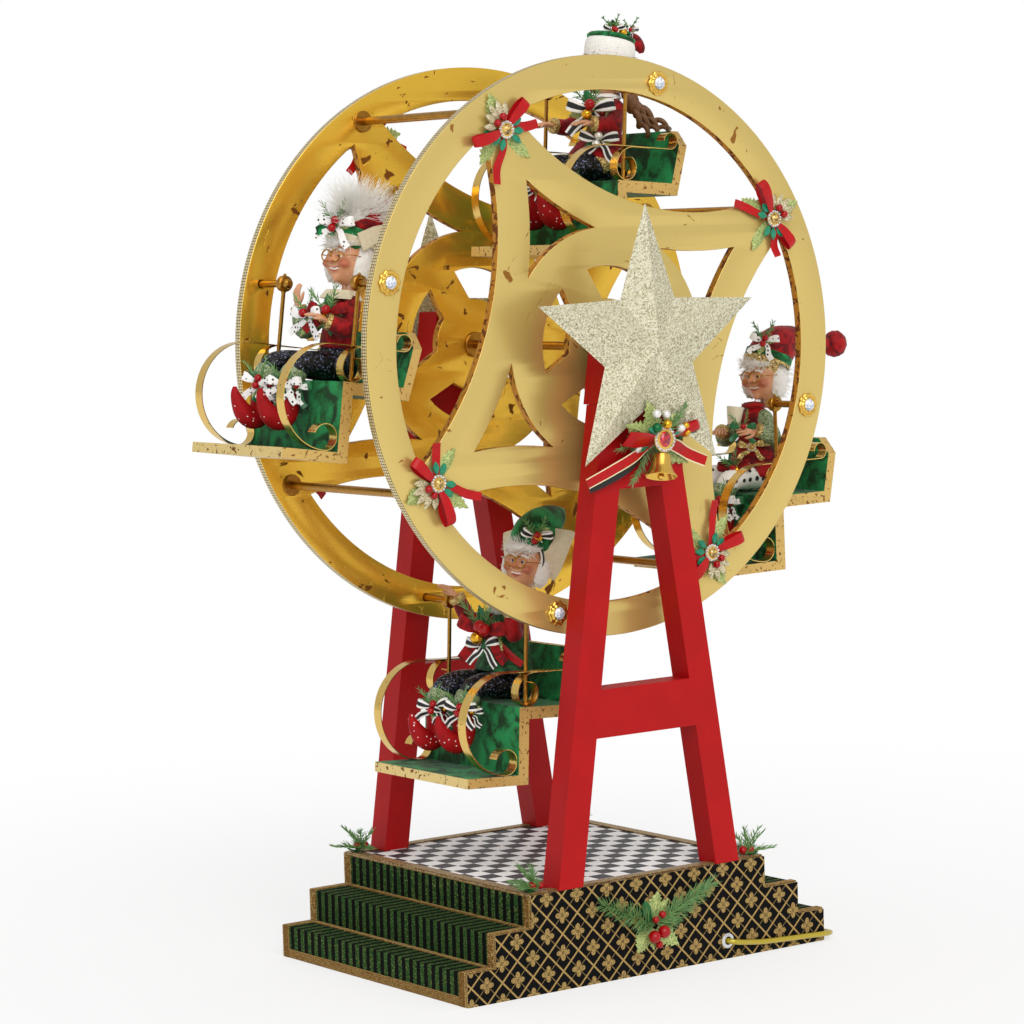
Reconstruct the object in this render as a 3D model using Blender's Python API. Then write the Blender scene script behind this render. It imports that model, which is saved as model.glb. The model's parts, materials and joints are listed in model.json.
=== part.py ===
"""A motor-driven ferris wheel display piece: stepped base, two A-frames, a double disc wheel and four benches.

Metres, +Z up. X runs along the plane of the wheel and the riders face -X. Y runs along the axle,
with the near side at -Y. The origin is the centre of the underside of the base.
"""

import math

import bmesh
import bpy
from mathutils import Matrix, Vector
from mathutils.geometry import tessellate_polygon

# Clearance between pieces that touch, and overlap where shapes are fused
GAP = 0.0003
WELD = 0.0006

# Stepped base
BASE_WIDTH = 0.320
PLATFORM_LENGTH = 0.2880
RISER_HEIGHT = 0.0318
LOW_TREAD = 0.0336
MID_TREAD = 0.0427
SIDE_COVER = 0.003
CARPET = 0.002
PLATFORM_COVER = 0.002
PLATFORM_TOP = 3 * RISER_HEIGHT
BASE_LENGTH = PLATFORM_LENGTH + 2 * (LOW_TREAD + MID_TREAD)

# Gold braid on the base
BRAID_THICKNESS = 0.0012
CROSS_BRAID_THICKNESS = 0.0009
EDGE_BRAID_WIDTH = 0.0085
CORNER_BRAID_WIDTH = 0.0045
FOOT_BRAID_WIDTH = 0.009
PLATFORM_BRAID_WIDTH = 0.011

# A-frames, each in the plane of the base's side, with their heads round the wheel's hub
HUB_HEIGHT = 0.606
FRAME_THICKNESS = 0.026
FRAME_FOOT_HALF = 0.111
FRAME_HEAD_HALF = 0.0295
FRAME_LEG_WIDTH = 0.029
CROSSBAR_BOTTOM = 0.2355
CROSSBAR_TOP = 0.282
OPENING_TOP = HUB_HEIGHT - 0.134
FRAME_TOP = HUB_HEIGHT - 0.0534
HOUSING_TOP = HUB_HEIGHT + 0.034
HOUSING_THICKNESS = 0.031
FRAME_TAPER = (FRAME_FOOT_HALF - FRAME_HEAD_HALF) / (HOUSING_TOP - PLATFORM_TOP)

# Wheel discs and their pattern, which repeats for each gondola
GONDOLA_COUNT = 4
DISC_RADIUS = 0.280
RING_INNER = 0.2465
DISC_THICKNESS = 0.009
DISC_CLEARANCE = 0.0145
DISC_OUTER_Y = BASE_WIDTH / 2 - HOUSING_THICKNESS - DISC_CLEARANCE
DISC_INNER_Y = DISC_OUTER_Y - DISC_THICKNESS
ARM_ANGLE = math.radians(164.6)
ARM_STEP = 2 * math.pi / GONDOLA_COUNT
PIVOT_RADIUS = 0.262
ARC_DISTANCE = 0.4483
ARC_OUTER_EDGE = ARC_DISTANCE - 0.143
ARC_INNER_EDGE = ARC_DISTANCE - 0.1053
HUB_RADIUS = 0.1155
WINDOW_OUTER = 0.078
WINDOW_INNER = 0.0465
WINDOW_OUTER_HALF = math.radians(32)
WINDOW_INNER_HALF = math.radians(21)
RIM_FACETS = 48
BORE_FACETS = 8

# Axle, motor and stretchers
AXLE_RADIUS = 0.00425
BORE_CLEARANCE = 0.0003
HUB_FLANGE_RADIUS = 0.013
HUB_FLANGE_THICKNESS = 0.003
COLLAR_RADIUS = 0.008
COLLAR_THICKNESS = 0.004
MOTOR_RADIUS = 0.025
MOTOR_LENGTH = 0.022
MOTOR_SHAFT_RADIUS = 0.003
MOTOR_SHAFT_LENGTH = 0.012
MOTOR_BOSS = 0.001
BEARING_DEPTH = 0.018
STRETCHER_RADIUS = 0.004
STRETCHER_CIRCLE = 0.260
STRETCHER_FLANGE_RADIUS = 0.0105
STRETCHER_FLANGE_THICKNESS = 0.002

# Pivot pins, each with a crystal head outside its disc, and the hanger eyes on them
PIN_RADIUS = 0.0035
PIN_END_RADIUS = 0.005
PIN_END_LENGTH = 0.006
BEZEL_RADIUS = 0.0125
BEZEL_THICKNESS = 0.003
CRYSTAL_RADIUS = 0.0065
CRYSTAL_HEIGHT = 0.007
EYE_Y = DISC_INNER_Y - 0.041
EYE_WIDTH = 0.008
EYE_RADIUS = 0.008
ROD_RADIUS = 0.002

# Bench, measured from its own pivot, front towards -X
BENCH_WIDTH = 2 * EYE_Y + 0.030
SEAT_BELOW_PIVOT = 0.0932
SEAT_THICKNESS = 0.0118
FOOTBOARD_BELOW_PIVOT = 0.1591
FOOTBOARD_THICKNESS = 0.0097
FOOTBOARD_FRONT = 0.078
RISER_FRONT = 0.0176
RISER_THICKNESS = 0.0116
BACK_FOOT = 0.0572
BACK_LEAN = math.radians(11.4)
BACK_THICKNESS = 0.0097
BACK_TOP = 0.040
BACK_CLIP_WIDTH = 0.018
BACK_CLIP_HEIGHT = 0.015

# Scroll strips welded outside the hanger rods
STRIP_WIDTH = 0.012
STRIP_THICKNESS = 0.0008
STRIP_INNER_Y = EYE_Y + ROD_RADIUS - WELD
HOOP_RADIUS = 0.0495
FOOT_CURL_RADIUS = 0.0124
FOOT_CURL_START = math.radians(165)
BACK_CURL_RADIUS = 0.008
SEAT_CURL_RADIUS = 0.012
SEAT_CURL_END = math.radians(420)
SEAT_SWEEP_RADIUS = 0.020
SEAT_SWEEP_X = 0.002
SEAT_SWEEP_TAIL = 0.020

# Star
STAR_POINTS = 5
STAR_RADIUS = 0.136
STAR_NOTCH = 0.056
STAR_RELIEF = 0.016
STAR_SEAT_RADIUS = 0.012
STAR_STANDOFF = 0.005
STAR_CENTRE_HEIGHT = HUB_HEIGHT + 0.001

# Sprays of holly, ribbon and jewels
LEAF_THICKNESS = 0.0016
BOW_CIRCLE = 0.240
LEAF_LENGTH = 0.034
LEAF_WIDTH = 0.017
RIBBON_LENGTH = 0.040
RIBBON_WIDTH = 0.011
JEWEL_RADIUS = 0.0075
JEWEL_HEIGHT = 0.0045
BERRY_RADIUS = 0.0042
BELL_RADIUS = 0.0095
STAR_SPRAY_HEIGHT = HUB_HEIGHT - 0.089
STAR_SPRAY_X = 0.012
BASE_SPRAY_X = 0.006
BASE_SPRAY_HEIGHT = 0.050
SPRIG_X = PLATFORM_LENGTH / 2 - 0.014
SPRIG_Y = BASE_WIDTH / 2 - 0.011

# Power cord: flat twin flex, taken as round at its full width
CORD_DIAMETER = 0.0055
CORD_RADIUS = CORD_DIAMETER / 2
EYELET_X = 0.094
EYELET_HEIGHT = 0.018
EYELET_RADIUS = 0.0075
EYELET_BORE = 0.0042
EYELET_THICKNESS = 0.0012
COIL_X = 0.286
COIL_Y = BASE_WIDTH / 2 - 0.035
COIL_TURNS_PER_LAYER = 4
COIL_OUTER_RADIUS = 0.0465
COIL_GAP = 0.0006
COIL_PITCH = CORD_DIAMETER + COIL_GAP
CORD_STEP = 0.0125
PLUG_LENGTH = 0.026
PLUG_WIDTH = 0.018
PLUG_HEIGHT = 0.012
BLADE_LENGTH = 0.016
BLADE_SPACING = 0.0127

# Each gondola's name and tilt at rest in degrees, top towards +X
GONDOLAS = (("left", 8.0), ("bottom", 3.0), ("right", -1.0), ("top", 4.0))

# Elves, in their own bench's millimetres from the pivot
MM = 0.001
WAIST = -62
ELF_SHOULDER = (27, 15, -15)
ELF_POSES = {
    "left": {
        "far_arm": ((6, 36, -43), (2, 41, -20), (-3, 44, -8)),
        "near_arm": ((10, -34, -44), (-8, -22, -36), (-18, -13, -30)),
        "hat": ((26, 46, 25), (36, 62, 21), (48, 76, 16), (60, 87, 8), (67, 86, 2)),
        "pompom": None,
    },
    "bottom": {
        "far_arm": ((8, 42, -17), (-5, 48, 9), (-17, 52, 22)),
        "near_arm": ((4, -34, -24), (0, -36, 2), (-2, -31, 16)),
        "hat": ((28, 46, 26), (46, 64, 25), (67, 83, 20), (86, 97, 12), (99, 100, 3)),
        "pompom": None,
    },
    "right": {
        "far_arm": ((6, 32, -40), (-8, 18, -30), (-15, 11, -26)),
        "near_arm": ((12, -34, -38), (-4, -20, -30), (-13, -11, -26)),
        "hat": ((30, 46, 25), (50, 60, 21), (72, 66, 15), (100, 62, 8), (131, 62, 4)),
        "pompom": (139, 64, 9),
    },
    "top": {
        "far_arm": ((6, 32, -34), (-20, 31, -36), (-35, 29, -37)),
        "near_arm": ((8, -34, -36), (-12, -26, -36), (-24, -20, -36)),
        "hat": ((26, 45, 24), (29, 53, 28), (30, 60, 25), (32, 64, 14), (33, 66, 3)),
        "pompom": (56, 56, 7),
    },
}


def clear_scene():
    for obj in list(bpy.data.objects):
        bpy.data.objects.remove(obj, do_unlink=True)


def make_material(name, colour, roughness, metallic=0.0):
    material = bpy.data.materials.new(name)
    material.use_nodes = True
    shader = material.node_tree.nodes["Principled BSDF"]
    shader.inputs["Base Color"].default_value = (*colour, 1.0)
    shader.inputs["Roughness"].default_value = roughness
    shader.inputs["Metallic"].default_value = metallic
    return material


def make_materials():
    looks = {
        "gold_leaf": ((0.72, 0.50, 0.14), 0.35, 0.9),
        "gold_braid": ((0.60, 0.45, 0.20), 0.5, 0.6),
        "brass": ((0.55, 0.36, 0.12), 0.3, 1.0),
        "red_paint": ((0.45, 0.01, 0.015), 0.45, 0.0),
        "glitter": ((0.75, 0.65, 0.38), 0.6, 0.4),
        "green_velvet": ((0.01, 0.14, 0.04), 0.8, 0.0),
        "check_cloth": ((0.75, 0.75, 0.75), 0.7, 0.0),
        "lattice_cloth": ((0.02, 0.02, 0.02), 0.7, 0.0),
        "stripe_carpet": ((0.01, 0.06, 0.02), 0.9, 0.0),
        "board": ((0.35, 0.24, 0.13), 0.8, 0.0),
        "steel": ((0.5, 0.5, 0.5), 0.3, 1.0),
        "foliage": ((0.05, 0.25, 0.08), 0.5, 0.0),
        "gold_flex": ((0.65, 0.55, 0.12), 0.35, 0.0),
        "elf_suit": ((0.35, 0.01, 0.02), 0.8, 0.0),
        "elf_trousers": ((0.01, 0.01, 0.02), 0.5, 0.0),
        "elf_skin": ((0.75, 0.45, 0.33), 0.5, 0.0),
    }
    return {name: make_material(name, *look) for name, look in looks.items()}


def on_circle(radius, angle, centre=(0.0, 0.0)):
    return (centre[0] + radius * math.cos(angle), centre[1] + radius * math.sin(angle))


def arc(radius, start, end, count, centre=(0.0, 0.0)):
    """Points on a circle from start to end, both included."""
    return [on_circle(radius, start + (end - start) * i / count, centre) for i in range(count + 1)]


def circle(radius, count, centre=(0.0, 0.0)):
    return arc(radius, 0, 2 * math.pi, count, centre)[:-1]


def plate(loops, low, high, place=None):
    """A flat plate in XZ, cut to the first loop with the others as holes, from low to high in Y."""
    mesh = bmesh.new()
    place = place or Matrix.Identity(4)
    flat = [point for loop in loops for point in loop]
    triangles = tessellate_polygon([[Vector((x, z, 0.0)) for x, z in loop] for loop in loops])
    first = [mesh.verts.new(place @ Vector((x, low, z))) for x, z in flat]
    second = [mesh.verts.new(place @ Vector((x, high, z))) for x, z in flat]
    for a, b, c in triangles:
        mesh.faces.new((first[a], first[b], first[c]))
        mesh.faces.new((second[c], second[b], second[a]))
    start = 0
    for loop in loops:
        for i in range(len(loop)):
            a = start + i
            b = start + (i + 1) % len(loop)
            mesh.faces.new((first[a], first[b], second[b], second[a]))
        start += len(loop)
    bmesh.ops.recalc_face_normals(mesh, faces=list(mesh.faces))
    return mesh


def box(low, high):
    corners = [(low[0], low[2]), (high[0], low[2]), (high[0], high[2]), (low[0], high[2])]
    return plate([corners], low[1], high[1])


def turned(profile, sides, centre=(0, 0, 0), axis=(0, 1, 0), ring=False):
    """A turned solid from (radius, distance along the axis) points, or a ring when its profile closes."""
    mesh = bmesh.new()
    turn = Vector((0, 0, 1)).rotation_difference(Vector(axis)).to_matrix().to_4x4()
    place = Matrix.Translation(centre) @ turn
    rows = []
    for radius, along in profile:
        if radius == 0.0:
            rows.append([mesh.verts.new(place @ Vector((0, 0, along)))])
        else:
            rows.append([mesh.verts.new(place @ Vector((x, y, along))) for x, y in circle(radius, sides)])
    pairs = list(zip(rows, rows[1:]))
    if ring:
        pairs.append((rows[-1], rows[0]))
    for low, high in pairs:
        for i in range(sides):
            j = (i + 1) % sides
            corners = [low[i % len(low)], low[j % len(low)], high[j % len(high)], high[i % len(high)]]
            mesh.faces.new(list(dict.fromkeys(corners)))
    for row in (rows[0], rows[-1]):
        if not ring and len(row) > 1:
            mesh.faces.new(row)
    bmesh.ops.recalc_face_normals(mesh, faces=list(mesh.faces))
    return mesh


def swelling(points, radii, sides, flat=1.0):
    """A limb or body that swells and tapers along points, flat times as wide across Y as it is deep."""
    mesh = bmesh.new()
    rows = []
    last = len(points) - 1
    for i, point in enumerate(points):
        along = (Vector(points[min(i + 1, last)]) - Vector(points[max(i - 1, 0)])).normalized()
        side = (Vector((0, 1, 0)) - along * along.y).normalized()
        other = along.cross(side)
        row = []
        for a, b in circle(1.0, sides):
            row.append(mesh.verts.new(Vector(point) + radii[i] * (side * a * flat + other * b)))
        rows.append(row)
    mesh.faces.new(rows[0])
    mesh.faces.new(rows[-1])
    for low, high in zip(rows, rows[1:]):
        for k in range(sides):
            j = (k + 1) % sides
            mesh.faces.new((low[k], low[j], high[j], high[k]))
    bmesh.ops.recalc_face_normals(mesh, faces=list(mesh.faces))
    return mesh


def ball(centre, radius, sides=8, rows=6):
    mesh = bmesh.new()
    place = Matrix.Translation(centre)
    bmesh.ops.create_uvsphere(mesh, u_segments=sides, v_segments=rows, radius=radius, matrix=place)
    return mesh


def place_object(name, mesh, material, parent=None):
    """Makes one named object of a bmesh, under its parent."""
    data = bpy.data.meshes.new(name)
    mesh.to_mesh(data)
    mesh.free()
    data.materials.append(material)
    data.shade_smooth()
    data.set_sharp_from_angle(angle=math.radians(35))
    obj = bpy.data.objects.new(name, data)
    bpy.context.collection.objects.link(obj)
    obj.parent = parent
    return obj


def place_fused(name, meshes, material, parent):
    """Makes one object of shapes that overlap, joined by a union."""
    obj = place_object(name, meshes[0], material, parent)
    helpers = bpy.data.collections.new(name + "_shapes")
    bpy.context.scene.collection.children.link(helpers)
    for index, mesh in enumerate(meshes[1:]):
        helper = place_object(f"{name}_shape_{index}", mesh, material, parent)
        bpy.context.collection.objects.unlink(helper)
        helpers.objects.link(helper)
        hide_helper(helper)
    join = obj.modifiers.new("union", "BOOLEAN")
    join.operation = "UNION"
    join.operand_type = "COLLECTION"
    join.collection = helpers
    return obj


def make_empty(name, location, tilt=0.0, parent=None):
    empty = bpy.data.objects.new(name, None)
    bpy.context.collection.objects.link(empty)
    empty.location = location
    empty.rotation_euler = (0, tilt, 0)
    empty.parent = parent
    return empty


def subtract(obj, name, mesh):
    """Cuts an object with a shape, which stays as a hidden helper."""
    cutter = place_object(name, mesh, obj.data.materials[0], obj.parent)
    hide_helper(cutter)
    cut = obj.modifiers.new(name, "BOOLEAN")
    cut.operation = "DIFFERENCE"
    cut.object = cutter


def hide_helper(obj):
    obj.hide_render = True
    obj.display_type = "WIRE"


def stair_line(inset, bottom, top):
    """The +X flight from the floor up to the platform as (x, z) points, drawn in by inset."""
    edges = (BASE_LENGTH / 2, BASE_LENGTH / 2 - LOW_TREAD, PLATFORM_LENGTH / 2)
    points = [(edges[0] - inset, bottom)]
    for i in (1, 2):
        level = i * RISER_HEIGHT - inset
        points.append((edges[i - 1] - inset, level))
        points.append((edges[i] - inset, level))
    points.append((edges[2] - inset, top))
    return points


def stepped_outline(inset, top):
    flight = stair_line(inset, 0.0, top)
    return flight + [(-x, z) for x, z in reversed(flight)]


def build_base(materials, stand):
    """Board core with cloth-covered sides and a checked platform."""
    side = BASE_WIDTH / 2
    core_half = side - SIDE_COVER - GAP
    core_top = PLATFORM_TOP - PLATFORM_COVER - GAP
    core = plate([stepped_outline(CARPET + GAP, core_top)], -core_half, core_half)
    core_obj = place_object("base_core", core, materials["board"], stand)
    eyelet_at = (EYELET_X, -core_half, EYELET_HEIGHT)
    pocket = turned([(EYELET_BORE, -2 * CORD_DIAMETER), (EYELET_BORE, 2 * CORD_DIAMETER)], 12, eyelet_at)
    subtract(core_obj, "cord_pocket", pocket)

    outline = stepped_outline(0.0, PLATFORM_TOP)
    bore = circle(EYELET_BORE, 12, (EYELET_X, EYELET_HEIGHT))
    near = plate([outline, bore], -side, -side + SIDE_COVER)
    place_object("near_side_cover", near, materials["lattice_cloth"], stand)
    far = plate([outline], side - SIDE_COVER, side)
    place_object("far_side_cover", far, materials["lattice_cloth"], stand)

    half = PLATFORM_LENGTH / 2
    top = box((-half, -core_half, PLATFORM_TOP - PLATFORM_COVER), (half, core_half, PLATFORM_TOP))
    place_object("platform_cover", top, materials["check_cloth"], stand)


def mirrored(loop, sign):
    return [(sign * x, z) for x, z in loop]


def build_stair_carpets(materials, stand):
    """Carpet down each flight, with braid along its edges, its foot and its inner corners."""
    reach = BASE_WIDTH / 2 - SIDE_COVER - GAP
    top = PLATFORM_TOP - PLATFORM_COVER - GAP
    carpet = stair_line(0.0, 0.0, top) + stair_line(CARPET, 0.0, top)[::-1]
    braid_top = PLATFORM_TOP - GAP
    edge = stair_line(-BRAID_THICKNESS, GAP, top - GAP) + stair_line(WELD, GAP, top - GAP)[::-1]
    outer = reach - GAP
    inner = outer - EDGE_BRAID_WIDTH
    cross = inner + WELD
    foot_x = BASE_LENGTH / 2
    foot = [
        (foot_x - WELD, 2 * GAP), (foot_x + CROSS_BRAID_THICKNESS, 2 * GAP),
        (foot_x + CROSS_BRAID_THICKNESS, FOOT_BRAID_WIDTH), (foot_x - WELD, FOOT_BRAID_WIDTH),
    ]
    corners = []
    for i, x in ((1, foot_x - LOW_TREAD), (2, PLATFORM_LENGTH / 2)):
        level = i * RISER_HEIGHT
        corners.append([
            (x - WELD, level - WELD), (x + CORNER_BRAID_WIDTH, level - WELD),
            (x + CORNER_BRAID_WIDTH, level + CROSS_BRAID_THICKNESS), (x - WELD, level + CROSS_BRAID_THICKNESS),
        ])
    for name, sign in (("left_stair_carpet", -1), ("right_stair_carpet", 1)):
        shapes = [plate([mirrored(carpet, sign)], -reach, reach)]
        shapes.append(plate([mirrored(edge, sign)], -outer, -inner))
        shapes.append(plate([mirrored(edge, sign)], inner, outer))
        for loop in [foot] + corners:
            shapes.append(plate([mirrored(loop, sign)], -cross, cross))
        place_fused(name, shapes, materials["stripe_carpet"], stand)


def lying(loops, low, high):
    """A plate lying flat, from loops in X and Y."""
    rows = ((1, 0, 0, 0), (0, 0, 1, 0), (0, 1, 0, 0), (0, 0, 0, 1))
    return plate(loops, low, high, Matrix(rows))


def build_platform_braid(materials, stand):
    """Braid round the platform's edge, with a pine sprig and berries at each corner."""
    x = PLATFORM_LENGTH / 2
    y = BASE_WIDTH / 2 - SIDE_COVER - GAP
    loops = []
    for inset in (0.0, PLATFORM_BRAID_WIDTH):
        loops.append([(-x + inset, -y + inset), (x - inset, -y + inset), (x - inset, y - inset), (-x + inset, y - inset)])
    shapes = [lying(loops, PLATFORM_TOP + GAP, PLATFORM_TOP + GAP + BRAID_THICKNESS)]
    level = PLATFORM_TOP + GAP + BRAID_THICKNESS - WELD
    face_up = Matrix.Rotation(-math.pi / 2, 4, "X")
    for sign_x in (-1, 1):
        for sign_y in (-1, 1):
            inward = math.degrees(math.atan2(-sign_y, -sign_x))
            turn = sign_x * sign_y
            sprig = [("frond", inward + turn * angle, 0.026, 0.013) for angle in (60, 155)]
            place = Matrix.Translation((sign_x * SPRIG_X, sign_y * SPRIG_Y, level)) @ face_up
            shapes += spray(place, sprig, berry_spots=((0.0, 0.0),))
    place_fused("platform_braid", shapes, materials["gold_braid"], stand)


def frame_half(height):
    """Half the outer width of an A-frame at a height above the floor."""
    return FRAME_FOOT_HALF - FRAME_TAPER * (height - PLATFORM_TOP)


def inner_half(height):
    return frame_half(height) - FRAME_LEG_WIDTH


def build_a_frames(materials, stand):
    foot = PLATFORM_TOP + GAP
    outline = [
        (inner_half(foot), foot), (frame_half(foot), foot),
        (frame_half(FRAME_TOP), FRAME_TOP), (-frame_half(FRAME_TOP), FRAME_TOP),
        (-frame_half(foot), foot), (-inner_half(foot), foot),
        (-inner_half(CROSSBAR_BOTTOM), CROSSBAR_BOTTOM), (inner_half(CROSSBAR_BOTTOM), CROSSBAR_BOTTOM),
    ]
    opening = [
        (-inner_half(CROSSBAR_TOP), CROSSBAR_TOP), (inner_half(CROSSBAR_TOP), CROSSBAR_TOP),
        (inner_half(OPENING_TOP), OPENING_TOP), (-inner_half(OPENING_TOP), OPENING_TOP),
    ]
    front = BASE_WIDTH / 2
    braid_outer = front - SIDE_COVER - GAP
    braid_inner = braid_outer - PLATFORM_BRAID_WIDTH
    for name, side in (("near_a_frame", -1), ("far_a_frame", 1)):
        low, high = sorted((side * front, side * (front - FRAME_THICKNESS)))
        frame = place_object(name, plate([outline, opening], low, high), materials["red_paint"], stand)
        low, high = sorted((side * (braid_outer + GAP), side * (braid_inner - GAP)))
        notch_top = PLATFORM_TOP + BRAID_THICKNESS + 2 * GAP
        groove = box((-BASE_LENGTH, low, PLATFORM_TOP - WELD), (BASE_LENGTH, high, notch_top))
        subtract(frame, name + "_braid_groove", groove)


def running_bore(radius):
    """Corner radius of a faceted bore whose flats clear a shaft that turns in it."""
    return (radius + BORE_CLEARANCE) / math.cos(math.pi / BORE_FACETS)


def build_housings(materials, stand):
    """Head blocks: the near one holds the motor, the far one is bored for the axle."""
    front = BASE_WIDTH / 2
    inner_face = front - HOUSING_THICKNESS
    low_z = FRAME_TOP + GAP
    block = [
        (frame_half(low_z), low_z), (frame_half(HOUSING_TOP), HOUSING_TOP),
        (-frame_half(HOUSING_TOP), HOUSING_TOP), (-frame_half(low_z), low_z),
    ]
    bores = {
        -1: (MOTOR_RADIUS + 2 * GAP, MOTOR_LENGTH + 2 * GAP, 16),
        1: (running_bore(AXLE_RADIUS), BEARING_DEPTH, BORE_FACETS),
    }
    for name, side in (("near_head_housing", -1), ("far_head_housing", 1)):
        low, high = sorted((side * front, side * inner_face))
        housing = place_object(name, plate([block], low, high), materials["red_paint"], stand)
        radius, depth, sides = bores[side]
        reach = [(radius, inner_face - depth), (radius, inner_face + depth)]
        subtract(housing, name + "_bore", turned(reach, sides, (0, 0, HUB_HEIGHT), (0, side, 0)))


def build_motor(materials, stand):
    """Geared motor in the near housing, with its output shaft towards the wheel."""
    face = BASE_WIDTH / 2 - HOUSING_THICKNESS
    profile = [
        (MOTOR_SHAFT_RADIUS, face - MOTOR_SHAFT_LENGTH), (MOTOR_SHAFT_RADIUS, face - MOTOR_BOSS),
        (AXLE_RADIUS, face - MOTOR_BOSS), (AXLE_RADIUS, face),
        (MOTOR_RADIUS, face), (MOTOR_RADIUS, face + MOTOR_LENGTH),
    ]
    motor = turned(profile, 16, (0, 0, HUB_HEIGHT), (0, -1, 0))
    place_object("gear_motor", motor, materials["steel"], stand)


def build_stars(materials, stand):
    """Faceted five-pointed stars, each on its housing by a short boss at the back."""
    seat = BASE_WIDTH / 2 + GAP
    root = seat + STAR_STANDOFF
    ratio = STAR_SEAT_RADIUS / STAR_NOTCH
    middle = root + STAR_RELIEF * (1 - ratio)
    corners = 2 * STAR_POINTS
    outline = []
    for i in range(corners):
        radius = STAR_NOTCH if i % 2 else STAR_RADIUS
        outline.append(on_circle(radius, math.pi / 2 + i * math.pi / STAR_POINTS))
    centre = Vector((0, 0, STAR_CENTRE_HEIGHT))
    for name, side in (("near_star", -1), ("far_star", 1)):
        star = bmesh.new()
        edge = [star.verts.new(centre + Vector((x, side * middle, z))) for x, z in outline]
        boss = [star.verts.new(centre + Vector((x * ratio, side * root, z * ratio))) for x, z in outline]
        flat = [star.verts.new(centre + Vector((x * ratio, side * seat, z * ratio))) for x, z in outline]
        apex = star.verts.new(centre + Vector((0, side * (middle + STAR_RELIEF), 0)))
        for i in range(corners):
            j = (i + 1) % corners
            star.faces.new((edge[i], edge[j], apex))
            star.faces.new((edge[j], edge[i], boss[i], boss[j]))
            star.faces.new((boss[j], boss[i], flat[i], flat[j]))
        star.faces.new(flat)
        bmesh.ops.recalc_face_normals(star, faces=list(star.faces))
        place_object(name, star, materials["glitter"], stand)


def crossing_angle(radius, edge_radius):
    """Angle from an arm's direction at which its arc edge crosses a circle about the hub."""
    top = radius**2 + ARC_DISTANCE**2 - edge_radius**2
    return math.acos(top / (2 * radius * ARC_DISTANCE))


def lens_hole(arm):
    """Opening between the rim and an arm's concave outer edge."""
    half = crossing_angle(RING_INNER, ARC_OUTER_EDGE)
    turn = math.asin(RING_INNER * math.sin(half) / ARC_OUTER_EDGE)
    centre = on_circle(ARC_DISTANCE, arm)
    rim = arc(RING_INNER, arm - half, arm + half, 10)
    return rim + arc(ARC_OUTER_EDGE, arm + math.pi - turn, arm + math.pi + turn, 8, centre)[1:-1]


def corner_hole(arm):
    """Three-sided opening between two neighbouring arcs and the hub disc."""
    following = arm + ARM_STEP
    half = crossing_angle(HUB_RADIUS, ARC_INNER_EDGE)
    across = ARC_DISTANCE * math.sin(ARM_STEP / 2)
    tip_radius = ARC_DISTANCE * math.cos(ARM_STEP / 2) - math.sqrt(ARC_INNER_EDGE**2 - across**2)
    steps = 4
    radii = [HUB_RADIUS + (tip_radius - HUB_RADIUS) * i / steps for i in range(1, steps)]
    hub = arc(HUB_RADIUS, arm + half, following - half, 4)
    rising = [on_circle(r, following - crossing_angle(r, ARC_INNER_EDGE)) for r in radii]
    falling = [on_circle(r, arm + crossing_angle(r, ARC_INNER_EDGE)) for r in reversed(radii)]
    return hub + rising + [on_circle(tip_radius, arm + ARM_STEP / 2)] + falling


def hub_window(arm):
    """Opening in the hub disc, wider at its outer side."""
    outer = arc(WINDOW_OUTER, arm - WINDOW_OUTER_HALF, arm + WINDOW_OUTER_HALF, 3)
    return outer + [
        on_circle(WINDOW_INNER, arm + WINDOW_INNER_HALF),
        on_circle(WINDOW_INNER, arm - WINDOW_INNER_HALF),
    ]


def build_discs(materials, wheel):
    loops = [circle(DISC_RADIUS, RIM_FACETS), circle(AXLE_RADIUS + BORE_CLEARANCE, BORE_FACETS)]
    pin_bore = running_bore(PIN_RADIUS)
    for k in range(GONDOLA_COUNT):
        arm = ARM_ANGLE + k * ARM_STEP
        loops += [lens_hole(arm), corner_hole(arm), hub_window(arm)]
        loops.append(circle(pin_bore, BORE_FACETS, on_circle(PIVOT_RADIUS, arm)))
        tie = on_circle(STRETCHER_CIRCLE, arm + ARM_STEP / 2)
        loops.append(circle(STRETCHER_RADIUS + BORE_CLEARANCE, BORE_FACETS, tie))
    for name, side in (("near_disc", -1), ("far_disc", 1)):
        low, high = sorted((side * DISC_INNER_Y, side * DISC_OUTER_Y))
        place_object(name, plate(loops, low, high), materials["gold_leaf"], wheel)


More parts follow.
